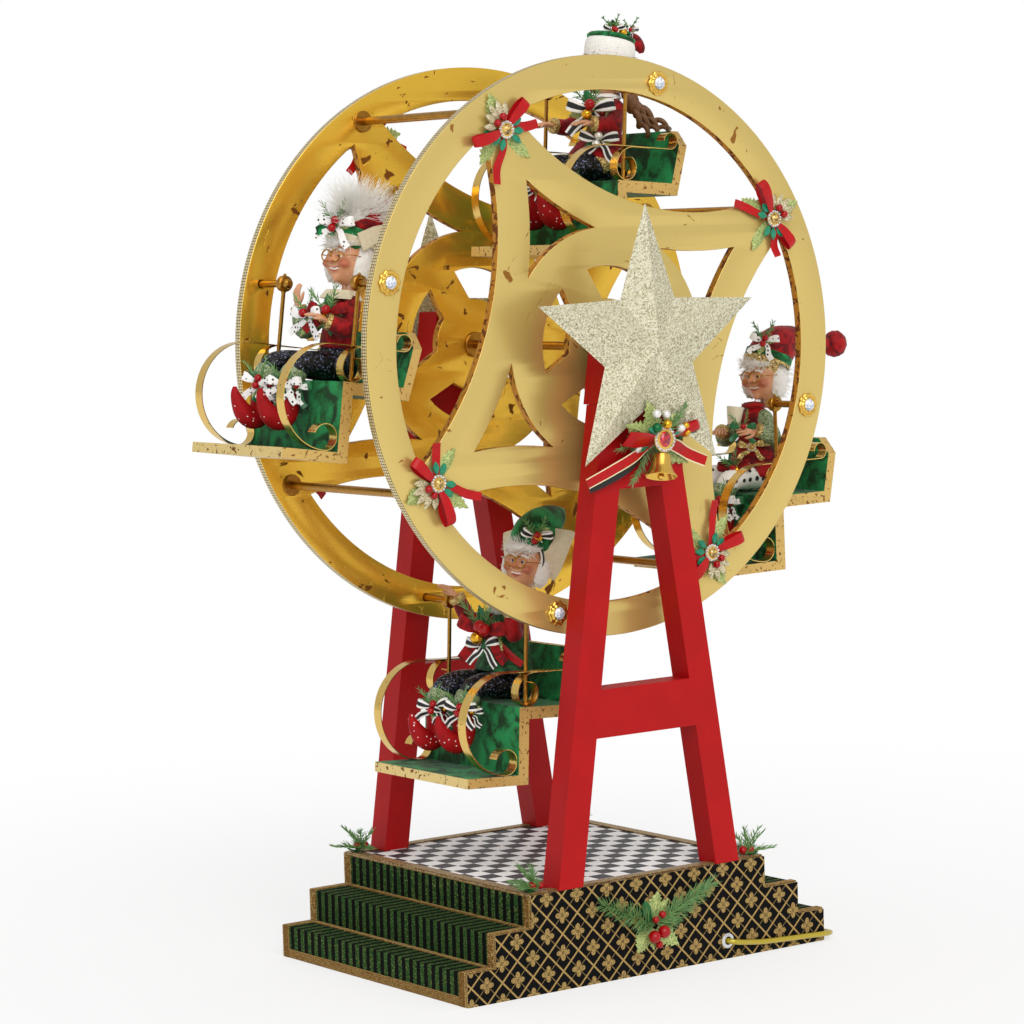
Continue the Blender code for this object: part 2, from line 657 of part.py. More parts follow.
def build_axle(materials, wheel):
    """Turned axle with a socket for the motor shaft, flanges inside the discs and collars outside."""
    housing_face = BASE_WIDTH / 2 - HOUSING_THICKNESS
    near_end = -(housing_face - MOTOR_BOSS - GAP)
    far_end = housing_face + BEARING_DEPTH - MOTOR_BOSS
    collar = DISC_OUTER_Y + GAP
    flange = DISC_INNER_Y - GAP
    socket = MOTOR_SHAFT_RADIUS + BORE_CLEARANCE
    profile = [
        (0.0, near_end + MOTOR_SHAFT_LENGTH), (socket, near_end + MOTOR_SHAFT_LENGTH),
        (socket, near_end), (AXLE_RADIUS, near_end),
        (AXLE_RADIUS, -collar - COLLAR_THICKNESS), (COLLAR_RADIUS, -collar - COLLAR_THICKNESS),
        (COLLAR_RADIUS, -collar), (AXLE_RADIUS, -collar),
        (AXLE_RADIUS, -flange), (HUB_FLANGE_RADIUS, -flange),
        (HUB_FLANGE_RADIUS, -flange + HUB_FLANGE_THICKNESS), (AXLE_RADIUS, -flange + HUB_FLANGE_THICKNESS),
        (AXLE_RADIUS, flange - HUB_FLANGE_THICKNESS), (HUB_FLANGE_RADIUS, flange - HUB_FLANGE_THICKNESS),
        (HUB_FLANGE_RADIUS, flange), (AXLE_RADIUS, flange),
        (AXLE_RADIUS, collar), (COLLAR_RADIUS, collar),
        (COLLAR_RADIUS, collar + COLLAR_THICKNESS), (AXLE_RADIUS, collar + COLLAR_THICKNESS),
        (AXLE_RADIUS, far_end), (0.0, far_end),
    ]
    place_object("axle", turned(profile, BORE_FACETS), materials["brass"], wheel)


def leaf_outline(length, width, start):
    """A holly leaf along +X with two spines on each side."""
    half = width / 2
    upper = [
        (start, half * 0.22), (start + length * 0.32, half * 0.95),
        (start + length * 0.48, half * 0.55), (start + length * 0.72, half * 0.8),
    ]
    return upper + [(start + length, 0.0)] + [(x, -z) for x, z in reversed(upper)]


def frond_outline(length, width, start):
    """A pine frond along +X as a saw-edged blade."""
    half = width / 2
    teeth = 2
    upper = [(start, half * 0.2)]
    for i in range(teeth):
        at = start + length * (i + 1) / (teeth + 1)
        upper.append((at + length * 0.10, half * (1.0 - 0.2 * i)))
        upper.append((at + length * 0.06, half * 0.3))
    return upper + [(start + length, 0.0)] + [(x, -z) for x, z in reversed(upper)]


def ribbon_outline(length, width, start):
    """A ribbon tail along +X with a swallow-cut end."""
    upper = [(start, width * 0.15), (start + length, width * 0.5)]
    return upper + [(start + length * 0.88, 0.0)] + [(x, -z) for x, z in reversed(upper)]


def rotated(outline, degrees):
    cosine, sine = math.cos(math.radians(degrees)), math.sin(math.radians(degrees))
    return [(x * cosine - z * sine, x * sine + z * cosine) for x, z in outline]


SHAPES = {"leaf": leaf_outline, "frond": frond_outline, "ribbon": ribbon_outline}


def layer_outline(items, start, turn):
    """One outline round all the leaves or ribbons of a layer, which meet under the boss."""
    outline = []
    for kind, degrees, length, width in sorted(items, key=lambda item: -item[1]):
        outline += rotated(SHAPES[kind](length, width, start), degrees + turn)
    return outline


def spray(place, *layers, boss_height=0.0, berry_spots=()):
    """Shapes of one spray, facing -Y in place's frame: layers of leaves and ribbons, and a jewel or berries."""
    root = JEWEL_RADIUS * 0.8
    pitch = LEAF_THICKNESS * 0.8
    depth = GAP + pitch * (len(layers) - 1) + LEAF_THICKNESS
    shapes = []
    if boss_height:
        boss = [(JEWEL_RADIUS, GAP), (JEWEL_RADIUS, depth), (JEWEL_RADIUS * 0.45, depth + boss_height)]
        shapes.append(turned(boss, 8, (0, 0, 0), (0, -1, 0)))
    for index, layer in enumerate(layers):
        near = -GAP - pitch * index
        shapes.append(plate([layer_outline(layer, root, 0.7 * index)], near - LEAF_THICKNESS, near))
    for x, z in berry_spots:
        shapes.append(ball((x, -GAP - BERRY_RADIUS, z), BERRY_RADIUS, 6, 4))
    for shape in shapes:
        bmesh.ops.transform(shape, matrix=place, verts=list(shape.verts))
    return shapes


def facing(x, y, z, side, turn=0.0):
    """Frame on a vertical face at Y that looks along -Y, or along +Y when side is 1."""
    place = Matrix.Translation((x, y, z))
    if side > 0:
        place = place @ Matrix.Rotation(math.pi, 4, "Z")
        turn = math.pi - turn
    return place @ Matrix.Rotation(-turn, 4, "Y")


def build_stretchers(materials, wheel):
    """Tie rods between the discs, each with a bow of leaves and ribbon over both of its ends."""
    flange = DISC_INNER_Y - GAP
    shoulder = flange - STRETCHER_FLANGE_THICKNESS
    end = DISC_OUTER_Y + GAP + LEAF_THICKNESS * 0.6
    profile = [
        (STRETCHER_RADIUS, -end), (STRETCHER_RADIUS, -flange),
        (STRETCHER_FLANGE_RADIUS, -flange), (STRETCHER_FLANGE_RADIUS, -shoulder),
        (STRETCHER_RADIUS, -shoulder), (STRETCHER_RADIUS, shoulder),
        (STRETCHER_FLANGE_RADIUS, shoulder), (STRETCHER_FLANGE_RADIUS, flange),
        (STRETCHER_RADIUS, flange), (STRETCHER_RADIUS, end),
    ]
    bow = [("leaf", angle, LEAF_LENGTH, LEAF_WIDTH) for angle in (0, 120, 240)]
    bow += [("ribbon", angle, RIBBON_LENGTH, RIBBON_WIDTH) for angle in (60, 180, 300)]
    for k in range(GONDOLA_COUNT):
        diagonal = ARM_ANGLE + (k + 0.5) * ARM_STEP
        x, z = on_circle(STRETCHER_CIRCLE, diagonal)
        shapes = [turned(profile, 6, (x, 0, z))]
        x, z = on_circle(BOW_CIRCLE, diagonal)
        for side in (-1, 1):
            place = facing(x, side * DISC_OUTER_Y, z, side, diagonal)
            shapes += spray(place, bow, boss_height=JEWEL_HEIGHT)
        place_fused(f"stretcher_with_bows_{k + 1}", shapes, materials["foliage"], wheel)


def build_star_sprays(materials, stand):
    """Bow with holly, pine and a bell below each star."""
    green = [
        ("frond", 186, 0.050, 0.020), ("frond", 354, 0.050, 0.020),
        ("leaf", 90, 0.030, 0.016), ("leaf", 236, 0.028, 0.016), ("leaf", 304, 0.028, 0.016),
    ]
    ribbons = [
        ("ribbon", 14, 0.044, 0.014), ("ribbon", 166, 0.044, 0.014),
        ("ribbon", 214, 0.056, 0.012), ("ribbon", 326, 0.060, 0.012),
    ]
    bell = [
        (0.0, 0.004), (BELL_RADIUS * 0.6, -0.002), (BELL_RADIUS * 0.7, -0.011), (BELL_RADIUS, -0.018),
        (BELL_RADIUS * 0.85, -0.018), (BELL_RADIUS * 0.5, -0.010), (0.0, -0.007),
    ]
    for name, side in (("near_star_spray", -1), ("far_star_spray", 1)):
        x = -side * STAR_SPRAY_X
        place = facing(x, side * BASE_WIDTH / 2, STAR_SPRAY_HEIGHT, side, 0.0 if side < 0 else math.pi)
        shapes = spray(place, green, ribbons, boss_height=JEWEL_HEIGHT)
        reach = BASE_WIDTH / 2 + 2 * GAP + BELL_RADIUS
        shapes.append(turned(bell, 10, (x, side * reach, STAR_SPRAY_HEIGHT - JEWEL_RADIUS / 2), (0, 0, 1)))
        place_fused(name, shapes, materials["foliage"], stand)


def build_base_spray(materials, stand):
    """Holly, pine and berries on the near side of the base."""
    holly = [("frond", 158, 0.072, 0.022), ("frond", 24, 0.070, 0.022)]
    holly += [("leaf", angle, 0.026, 0.018) for angle in (88, 222, 318)]
    berries = ((-0.0050, 0.0), (0.0050, 0.001), (0.0005, -0.0080))
    place = facing(BASE_SPRAY_X, -BASE_WIDTH / 2, BASE_SPRAY_HEIGHT, -1)
    place_fused("base_holly_spray", spray(place, holly, berry_spots=berries), materials["foliage"], stand)


def smooth_route(points, step):
    """Points every step or so along a smooth curve through a route's own points."""
    rows = [Vector(p) for p in points]
    rows = [rows[0] * 2 - rows[1]] + rows + [rows[-1] * 2 - rows[-2]]
    route = [rows[1]]
    for a, b, c, d in zip(rows, rows[1:], rows[2:], rows[3:]):
        count = max(1, round((c - b).length / step))
        for i in range(1, count + 1):
            t = i / count
            square = (2 * a - 5 * b + 4 * c - d) * t**2
            cube = (3 * b - a - 3 * c + d) * t**3
            route.append(0.5 * (2 * b + (c - a) * t + square + cube))
    return route


def place_cord(name, points, resolution, material, parent):
    """A round tube along points, as a curve with a bevel and filled caps."""
    curve = bpy.data.curves.new(name, "CURVE")
    curve.dimensions = "3D"
    curve.bevel_depth = CORD_RADIUS
    curve.bevel_resolution = resolution
    curve.use_fill_caps = True
    spline = curve.splines.new("POLY")
    spline.points.add(len(points) - 1)
    for target, point in zip(spline.points, points):
        target.co = (*point, 1.0)
    curve.materials.append(material)
    obj = bpy.data.objects.new(name, curve)
    bpy.context.collection.objects.link(obj)
    obj.parent = parent


def coil_points():
    """Two layers of turns: in on the floor, up where the spiral reverses, and out again on top."""
    floor = CORD_RADIUS + GAP
    per_turn = 24
    reverse = COIL_TURNS_PER_LAYER * per_turn
    climb = per_turn // 2
    inner = COIL_OUTER_RADIUS - COIL_PITCH * COIL_TURNS_PER_LAYER
    points = []
    for i in range(2 * reverse + climb + 1):
        k = i - reverse
        if k <= 0:
            radius = inner - COIL_PITCH * k / per_turn
            rise = 0.0
        elif k < climb:
            radius = inner - COIL_PITCH * min(k, climb - k) / per_turn
            rise = (1 - math.cos(math.pi * k / climb)) / 2
        else:
            radius = inner + COIL_PITCH * (k - climb) / per_turn
            rise = 1.0
        x, y = on_circle(radius, math.pi - 2 * math.pi * i / per_turn, (COIL_X, COIL_Y))
        points.append(Vector((x, y, floor + COIL_PITCH * rise)))
    return points


def least_gap(path):
    """Smallest clear distance between stretches of a tube's path that are a third of a turn apart or more."""
    apart = 8
    smallest = math.inf
    for i, point in enumerate(path):
        for other in path[i + apart:]:
            smallest = min(smallest, (point - other).length)
    return smallest - CORD_DIAMETER


def build_cord(materials, stand):
    """Cord from the eyelet along the base's side and round its corner to a coil and a plug."""
    floor = CORD_RADIUS + GAP
    side_y = -BASE_WIDTH / 2
    coil = coil_points()
    entry = coil[0]
    joint = entry.y - CORD_DIAMETER
    route = [
        (EYELET_X, side_y + 0.0055, EYELET_HEIGHT),
        (EYELET_X, side_y + 0.0010, EYELET_HEIGHT),
        (EYELET_X + 0.0006, side_y - 0.0028, EYELET_HEIGHT - 0.0002),
        (EYELET_X + 0.0040, side_y - 0.0056, EYELET_HEIGHT - 0.0010),
        (EYELET_X + 0.0100, side_y - 0.0060, EYELET_HEIGHT - 0.0022),
        (0.114, side_y - 0.0052, 0.0142),
        (0.135, side_y - 0.0040, 0.0114),
        (0.165, side_y - 0.0036, 0.0096),
        (0.195, side_y - 0.0036, 0.0084),
        (0.216, side_y - 0.0042, 0.0076),
        (0.2275, side_y - 0.0010, 0.0068),
        (0.2310, side_y + 0.0090, 0.0058),
        (0.2325, side_y + 0.0300, 0.0044),
        (0.2335, side_y + 0.0900, floor),
        (0.2360, COIL_Y - 0.1050, floor),
        (entry.x, joint - 0.020, floor),
        (entry.x, joint - GAP, floor),
    ]
    place_cord("power_cord_run", smooth_route(route, CORD_STEP), 2, materials["gold_flex"], stand)

    end = coil[-1]
    tail = [
        Vector((end.x + 0.0030, end.y - 0.014, end.z - 0.0006)),
        Vector((end.x + 0.0040, end.y - 0.030, floor + 0.0036)),
        Vector((end.x + 0.0040, end.y - 0.044, floor + 0.0034)),
        Vector((end.x + 0.0040, end.y - 0.050, floor + 0.0034)),
    ]
    path = [Vector((entry.x, joint, floor))] + coil + tail
    place_cord("power_cord_coil", path, 1, materials["gold_flex"], stand)
    print("least gap of the coil to itself in mm:", round(1000 * least_gap(path), 2))

    last = tail[-1]
    start = last.y - GAP
    low_z = last.z - PLUG_HEIGHT / 2
    shapes = [box(
        (last.x - PLUG_WIDTH / 2, start - PLUG_LENGTH, low_z),
        (last.x + PLUG_WIDTH / 2, start, low_z + PLUG_HEIGHT),
    )]
    for offset in (-BLADE_SPACING / 2, BLADE_SPACING / 2):
        x = last.x + offset
        y = start - PLUG_LENGTH
        shapes.append(box((x - 0.0008, y - BLADE_LENGTH, last.z - 0.0032), (x + 0.0008, y + WELD, last.z + 0.0032)))
    place_fused("power_plug", shapes, materials["gold_flex"], stand)

    rim = [
        (EYELET_BORE, GAP), (EYELET_RADIUS, GAP),
        (EYELET_RADIUS, GAP + EYELET_THICKNESS * 0.5), (EYELET_BORE, GAP + EYELET_THICKNESS),
    ]
    eyelet = turned(rim, 16, (EYELET_X, side_y, EYELET_HEIGHT), (0, -1, 0), True)
    place_object("cord_eyelet", eyelet, materials["steel"], stand)


def bench_profile():
    """Side outline of foot-board, riser, seat and leaning back."""
    seat_top = -SEAT_BELOW_PIVOT
    seat_bottom = seat_top - SEAT_THICKNESS
    foot_top = -FOOTBOARD_BELOW_PIVOT
    foot_bottom = foot_top - FOOTBOARD_THICKNESS
    riser_back = RISER_THICKNESS - RISER_FRONT
    top_outer = back_outer(-BACK_TOP)
    return [
        (-FOOTBOARD_FRONT, foot_bottom), (riser_back, foot_bottom), (riser_back, seat_bottom),
        (BACK_FOOT, seat_bottom), (top_outer, -BACK_TOP), (top_outer - BACK_THICKNESS, -BACK_TOP),
        (back_outer(seat_top) - BACK_THICKNESS, seat_top), (-RISER_FRONT, seat_top),
        (-RISER_FRONT, foot_top), (-FOOTBOARD_FRONT, foot_top),
    ]


def back_outer(z):
    """Outer face of the leaning back at a height from the pivot."""
    return BACK_FOOT + math.tan(BACK_LEAN) * (z + SEAT_BELOW_PIVOT + SEAT_THICKNESS)


def build_bench(name, materials, parent):
    half = BENCH_WIDTH / 2
    bench = plate([bench_profile()], -half, half)
    for side in (-1, 1):
        corner = Vector((0, side * half, -BACK_TOP - BACK_CLIP_HEIGHT))
        outwards = Vector((0, side * BACK_CLIP_HEIGHT, BACK_CLIP_WIDTH)).normalized()
        everything = list(bench.verts) + list(bench.edges) + list(bench.faces)
        cut = bmesh.ops.bisect_plane(bench, geom=everything, plane_co=corner, plane_no=outwards, clear_outer=True)
        rim = [edge for edge in cut["geom_cut"] if isinstance(edge, bmesh.types.BMEdge)]
        bmesh.ops.edgeloop_fill(bench, edges=rim)
    bmesh.ops.recalc_face_normals(bench, faces=list(bench.faces))
    place_object(name + "_bench", bench, materials["green_velvet"], parent)


def strip_loop(path):
    """Outline of a thin strip that follows a path, half its thickness to each side."""
    left, right = [], []
    last = len(path) - 1
    for i, (x, z) in enumerate(path):
        before = path[max(i - 1, 0)]
        after = path[min(i + 1, last)]
        along = Vector((after[0] - before[0], after[1] - before[1])).normalized()
        reach = Vector((-along.y, along.x)) * STRIP_THICKNESS / 2
        left.append((x + reach.x, z + reach.y))
        right.append((x - reach.x, z - reach.y))
    return left + right[::-1]


def strip_base():
    return -FOOTBOARD_BELOW_PIVOT + GAP + STRIP_THICKNESS / 2


def rail_height():
    """Height of the arm rail, which leaves the hoop at its top."""
    return strip_base() + 2 * HOOP_RADIUS


def arm_strip_path():
    """Curl on the foot-board, the big hoop, the arm rail and the curl in front of the back."""
    half = STRIP_THICKNESS / 2
    base = strip_base()
    rail = rail_height()
    hoop_x = -RISER_FRONT - 2 * GAP - half - FOOT_CURL_RADIUS
    face = back_outer(rail) - BACK_THICKNESS
    curl_x = face - GAP - half - BACK_CURL_RADIUS
    foot = arc(FOOT_CURL_RADIUS, FOOT_CURL_START, -math.pi / 2, 5, (hoop_x, base + FOOT_CURL_RADIUS))
    hoop = arc(HOOP_RADIUS, -math.pi / 2, -1.5 * math.pi, 8, (hoop_x, base + HOOP_RADIUS))
    back = arc(BACK_CURL_RADIUS, -math.pi / 2, math.pi, 4, (curl_x, rail + BACK_CURL_RADIUS))
    return foot[:-1] + hoop + back


def seat_strip_path():
    """Branch that leaves the rail, sweeps down in front of the seat and curls on it."""
    base = -SEAT_BELOW_PIVOT + GAP + STRIP_THICKNESS / 2
    start = rail_height() - STRIP_THICKNESS * 0.6
    sweep_centre = (SEAT_SWEEP_X, start - SEAT_SWEEP_RADIUS)
    curl_centre = (SEAT_SWEEP_X - SEAT_SWEEP_RADIUS + SEAT_CURL_RADIUS, base + SEAT_CURL_RADIUS)
    sweep = arc(SEAT_SWEEP_RADIUS, math.pi / 2, math.pi, 3, sweep_centre)
    curl = arc(SEAT_CURL_RADIUS, math.pi, SEAT_CURL_END, 6, curl_centre)
    return [(SEAT_SWEEP_X + SEAT_SWEEP_TAIL, start)] + sweep[:-1] + curl


def build_hangers(name, materials, parent):
    """Eye and rod on each side with the scroll strips welded outside the rod."""
    bore = running_bore(PIN_RADIUS)
    for label, side in (("near", -1), ("far", 1)):
        low, high = sorted((side * STRIP_INNER_Y, side * (STRIP_INNER_Y + STRIP_WIDTH)))
        start = side * EYE_Y - EYE_WIDTH / 2
        shapes = [plate([circle(EYE_RADIUS, BORE_FACETS), circle(bore, BORE_FACETS)], start, start + EYE_WIDTH)]
        rod = [(ROD_RADIUS, -SEAT_BELOW_PIVOT + GAP), (ROD_RADIUS, -EYE_RADIUS + 2 * WELD)]
        shapes.append(turned(rod, 6, (0, side * EYE_Y, 0), (0, 0, 1)))
        shapes.append(plate([strip_loop(arm_strip_path())], low, high))
        shapes.append(plate([strip_loop(seat_strip_path())], low + GAP, high - GAP))
        place_fused(f"{name}_{label}_hanger", shapes, materials["brass"], parent)


def build_pins(name, materials, parent):
    """Pin through each disc, with a crystal outside and a rounded end beyond the hanger eye."""
    eye_end = EYE_Y - EYE_WIDTH / 2 - GAP
    outer = DISC_OUTER_Y + GAP
    profile = [
        (PIN_END_RADIUS * 0.6, eye_end - PIN_END_LENGTH), (PIN_END_RADIUS, eye_end - PIN_END_LENGTH / 2),
        (PIN_END_RADIUS, eye_end), (PIN_RADIUS, eye_end), (PIN_RADIUS, outer),
        (BEZEL_RADIUS, outer), (BEZEL_RADIUS, outer + BEZEL_THICKNESS * 0.6),
        (CRYSTAL_RADIUS, outer + BEZEL_THICKNESS), (CRYSTAL_RADIUS * 0.6, outer + CRYSTAL_HEIGHT),
    ]
    for label, side in (("near", -1), ("far", 1)):
        pin = turned(profile, BORE_FACETS, (0, 0, 0), (0, side, 0))
        place_object(f"{name}_{label}_pin", pin, materials["brass"], parent)


def elf_swelling(rows, sides, flat=1.0):
    """A swelling from rows of x, y, z and radius in the elf's millimetres."""
    points = [(x * MM, y * MM, z * MM) for x, y, z, _ in rows]
    return swelling(points, [r * MM for _, _, _, r in rows], sides, flat)


def build_elf(name, pose, materials, parent):
    """Seated elf in three pieces: hips with legs and boots, trunk with arms, head with its hat."""
    seat = -SEAT_BELOW_PIVOT / MM + 0.3
    hips = [(25, 0, seat, 16), (25, 0, seat + 6, 20), (25, 0, -72, 20), (25, 0, WAIST, 17.5)]
    shapes = [elf_swelling(hips, 10, 1.15)]
    for side in (-1, 1):
        knee = side * 19
        leg = [
            (24, side * 13, -80, 10.5), (4, side * 16, -79, 11), (-18, knee, -79, 10),
            (-31, knee, -89, 8), (-37, knee, -101, 8.5), (-36, knee, -116, 9.5),
            (-37, knee, -129, 10), (-48, knee, -132, 9.5), (-59, knee, -125, 7.5),
            (-66, knee, -114, 4.5), (-68, knee, -106, 1.5),
        ]
        shapes.append(elf_swelling(leg, 8))
    place_fused(name + "_elf_legs", shapes, materials["elf_trousers"], parent)

    trunk = [
        (25, 0, WAIST + 0.4, 17.5), (25, 0, -50, 16), (27, 0, -34, 15.5),
        (27, 0, -16, 14), (25, 0, -7, 9), (25, 0, -3, 7),
    ]
    shapes = [elf_swelling(trunk, 10, 1.15)]
    for side, key in ((1, "far_arm"), (-1, "near_arm")):
        x, y, z = ELF_SHOULDER
        elbow, wrist, hand = pose[key]
        arm = [(x, side * y, z, 7), (*elbow, 7.5), (*wrist, 6.5), (*hand, 3.5)]
        shapes.append(elf_swelling(arm, 8))
    place_fused(name + "_elf_body", shapes, materials["elf_suit"], parent)

    head = [
        (25, 0, -2.6, 8), (25, 0, 3, 15), (25, 0, 11, 20.5), (27, 0, 23, 23.5),
        (28, 0, 35, 22.5), (27, 0, 44, 19), (26, 0, 49, 15),
    ]
    hat = [(x, 0, z, r) for x, z, r in pose["hat"]]
    shapes = [elf_swelling(head, 10), elf_swelling(hat, 10)]
    shapes.append(ball((2.5 * MM, 0.0, 20 * MM), 4 * MM, 6, 4))
    if pose["pompom"]:
        x, z, r = pose["pompom"]
        shapes.append(ball((x * MM, 0.0, z * MM), r * MM, 8, 5))
    place_fused(name + "_elf_head", shapes, materials["elf_skin"], parent)


def build_gondolas(materials):
    for index, (name, tilt) in enumerate(GONDOLAS):
        x, z = on_circle(PIVOT_RADIUS, ARM_ANGLE + index * ARM_STEP)
        pins = make_empty(name + "_pivot", (x, 0.0, HUB_HEIGHT + z))
        build_pins(name, materials, pins)
        swing = make_empty(name + "_swing", (0, 0, 0), math.radians(tilt), pins)
        build_hangers(name, materials, swing)
        build_bench(name, materials, swing)
        build_elf(name, ELF_POSES[name], materials, swing)


def main():
    clear_scene()
    materials = make_materials()
    stand = make_empty("stand", (0, 0, 0))
    wheel = make_empty("wheel_axis", (0, 0, HUB_HEIGHT))
    build_base(materials, stand)
    build_stair_carpets(materials, stand)
    build_platform_braid(materials, stand)
    build_a_frames(materials, stand)
    build_housings(materials, stand)
    build_motor(materials, stand)
    build_stars(materials, stand)
    build_star_sprays(materials, stand)
    build_base_spray(materials, stand)
    build_cord(materials, stand)
    build_discs(materials, wheel)
    build_axle(materials, wheel)
    build_stretchers(materials, wheel)
    build_gondolas(materials)


main()
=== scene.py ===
"""Looks of a ferris wheel display piece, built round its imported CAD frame.

Metres, +Z up. X runs along the plane of the wheel and the riders face -X. The near side is at -Y.
"""

import json
import math

import bmesh
import bpy
import numpy as np
from mathutils import Matrix, Vector

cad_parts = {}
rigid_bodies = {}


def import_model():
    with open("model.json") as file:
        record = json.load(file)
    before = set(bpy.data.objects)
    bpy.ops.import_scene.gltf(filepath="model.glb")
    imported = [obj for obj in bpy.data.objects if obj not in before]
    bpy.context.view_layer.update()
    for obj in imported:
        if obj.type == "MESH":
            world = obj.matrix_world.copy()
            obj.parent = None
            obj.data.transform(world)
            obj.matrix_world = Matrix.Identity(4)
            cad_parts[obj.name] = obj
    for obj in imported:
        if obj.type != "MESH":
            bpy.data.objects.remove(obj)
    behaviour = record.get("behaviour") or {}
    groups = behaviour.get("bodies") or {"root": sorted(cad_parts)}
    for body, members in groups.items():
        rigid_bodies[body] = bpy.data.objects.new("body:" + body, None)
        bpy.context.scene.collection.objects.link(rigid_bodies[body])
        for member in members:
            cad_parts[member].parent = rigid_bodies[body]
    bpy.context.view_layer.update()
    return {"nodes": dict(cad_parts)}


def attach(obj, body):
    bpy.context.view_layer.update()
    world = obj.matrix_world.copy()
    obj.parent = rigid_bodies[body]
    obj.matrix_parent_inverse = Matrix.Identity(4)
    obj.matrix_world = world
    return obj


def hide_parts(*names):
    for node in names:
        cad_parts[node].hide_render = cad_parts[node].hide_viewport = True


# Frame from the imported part
for obj in list(bpy.data.objects):
    bpy.data.objects.remove(obj, do_unlink=True)
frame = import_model()
nodes = frame["nodes"]
random = np.random.default_rng(11)

# Camera, matched to the photograph
CAMERA_PLACE, CAMERA_AIM = (-2.0166, -2.7132, 0.7179), (-0.3578, -0.4403, 0.4875)
CAMERA_ROLL, CAMERA_LENS, CAMERA_SENSOR = math.radians(-1.66), 119.74, 36.0
camera = bpy.data.objects.new("camera", bpy.data.cameras.new("camera"))
bpy.context.scene.collection.objects.link(camera)
camera.location = CAMERA_PLACE
aim = Vector(CAMERA_AIM) - camera.location
level = aim.to_track_quat("-Z", "Y").to_matrix().to_4x4()
camera.rotation_euler = (level @ Matrix.Rotation(CAMERA_ROLL, 4, "Z")).to_euler()
camera.data.lens = CAMERA_LENS
camera.data.sensor_width = CAMERA_SENSOR
bpy.context.scene.camera = camera

# Power cord: flat twin flex in clear gold plastic, from the eyelet to a coil on the floor.
# It lies loose beside the base and ends in a moulded plug.
CORD_RADIUS = 0.00275
FLOOR_LEVEL = CORD_RADIUS + 0.0003
BASE_SIDE = -0.160
COIL_CENTRE = np.array((0.286, 0.125))
COIL_PITCH = 0.0061
COIL_TURNS = 4
COIL_OUTER = 0.0465
COIL_STEPS = 48


def srgb(code):
    """Linear colour with alpha from an sRGB hex code."""
    values = [int(code[i:i + 2], 16) / 255 for i in (0, 2, 4)]
    return (*[v / 12.92 if v <= 0.04045 else ((v + 0.055) / 1.055) ** 2.4 for v in values], 1.0)


def feed(node, key, value):
    """Gives one socket of a node, by name or index, a value, an sRGB hex code or another node's output."""
    if isinstance(value, bpy.types.NodeSocket):
        node.id_data.links.new(value, node.inputs[key])
    else:
        node.inputs[key].default_value = srgb(value) if isinstance(value, str) else value


def new_material(name, colour="ffffff", roughness=0.5, metallic=0.0):
    """A material with its node tree and its Principled shader."""
    material = bpy.data.materials.new(name)
    material.use_nodes = True
    shader = material.node_tree.nodes["Principled BSDF"]
    feed(shader, "Base Color", colour)
    feed(shader, "Roughness", roughness)
    feed(shader, "Metallic", metallic)
    return material, material.node_tree, shader


def smooth_path(points, step):
    """Catmull-Rom curve through points, with a point every step or so.

    p(t) = (2b + (c - a)t + (2a - 5b + 4c - d)t^2 + (3b - a - 3c + d)t^3) / 2 between b and c.
    """
    rows = [np.array(p, float) for p in points]
    rows = [2 * rows[0] - rows[1]] + rows + [2 * rows[-1] - rows[-2]]
    path = [rows[1]]
    for a, b, c, d in zip(rows, rows[1:], rows[2:], rows[3:]):
        count = max(1, round(np.linalg.norm(c - b) / step))
        for t in np.arange(1, count + 1) / count:
            square = (2 * a - 5 * b + 4 * c - d) * t**2
            path.append((2 * b + (c - a) * t + square + (3 * b - a - 3 * c + d) * t**3) / 2)
    return np.array(path)


def coil_path():
    """Spiral in on the floor, a half turn up, and out again in a second layer."""
    points = []
    reverse = COIL_TURNS * COIL_STEPS
    climb = COIL_STEPS // 2
    inner = COIL_OUTER - COIL_PITCH * COIL_TURNS
    for i in range(2 * reverse + climb + 1):
        k = i - reverse
        outwards = -k if k <= 0 else k - climb if k > climb else -min(k, climb - k)
        rise = (1 - math.cos(math.pi * np.clip(k / climb, 0, 1))) / 2
        radius = inner + COIL_PITCH * outwards / COIL_STEPS
        angle = math.pi - 2 * math.pi * i / COIL_STEPS
        across = COIL_CENTRE + radius * np.array((math.cos(angle), math.sin(angle)))
        points.append((*across, FLOOR_LEVEL + COIL_PITCH * rise))
    return np.array(points)


coil = coil_path()
entry = coil[0]
run = smooth_path([
    (0.0940, BASE_SIDE + 0.0055, 0.0180), (0.0940, BASE_SIDE + 0.0010, 0.0180),
    (0.0946, BASE_SIDE - 0.0028, 0.0178), (0.0980, BASE_SIDE - 0.0056, 0.0170),
    (0.1040, BASE_SIDE - 0.0060, 0.0158), (0.1140, BASE_SIDE - 0.0052, 0.0142),
    (0.1350, BASE_SIDE - 0.0040, 0.0114), (0.1650, BASE_SIDE - 0.0036, 0.0096),
    (0.1950, BASE_SIDE - 0.0036, 0.0084), (0.2160, BASE_SIDE - 0.0042, 0.0076),
    (0.2275, BASE_SIDE - 0.0010, 0.0068), (0.2310, BASE_SIDE + 0.0090, 0.0058),
    (0.2325, BASE_SIDE + 0.0300, 0.0044), (0.2335, BASE_SIDE + 0.0900, FLOOR_LEVEL),
    (0.2360, BASE_SIDE + 0.1800, FLOOR_LEVEL), (entry[0], entry[1] - 0.0255, FLOOR_LEVEL),
    tuple(entry),
], 0.006)
last = coil[-1]
tail = smooth_path([
    tuple(last), (last[0] + 0.0030, last[1] - 0.014, last[2] - 0.0006),
    (last[0] + 0.0040, last[1] - 0.030, FLOOR_LEVEL + 0.0036),
    (last[0] + 0.0040, last[1] - 0.044, FLOOR_LEVEL + 0.0034),
    (last[0] + 0.0040, last[1] - 0.051, FLOOR_LEVEL + 0.0034),
], 0.006)
cord_path = np.vstack([run, coil[1:], tail[1:]])
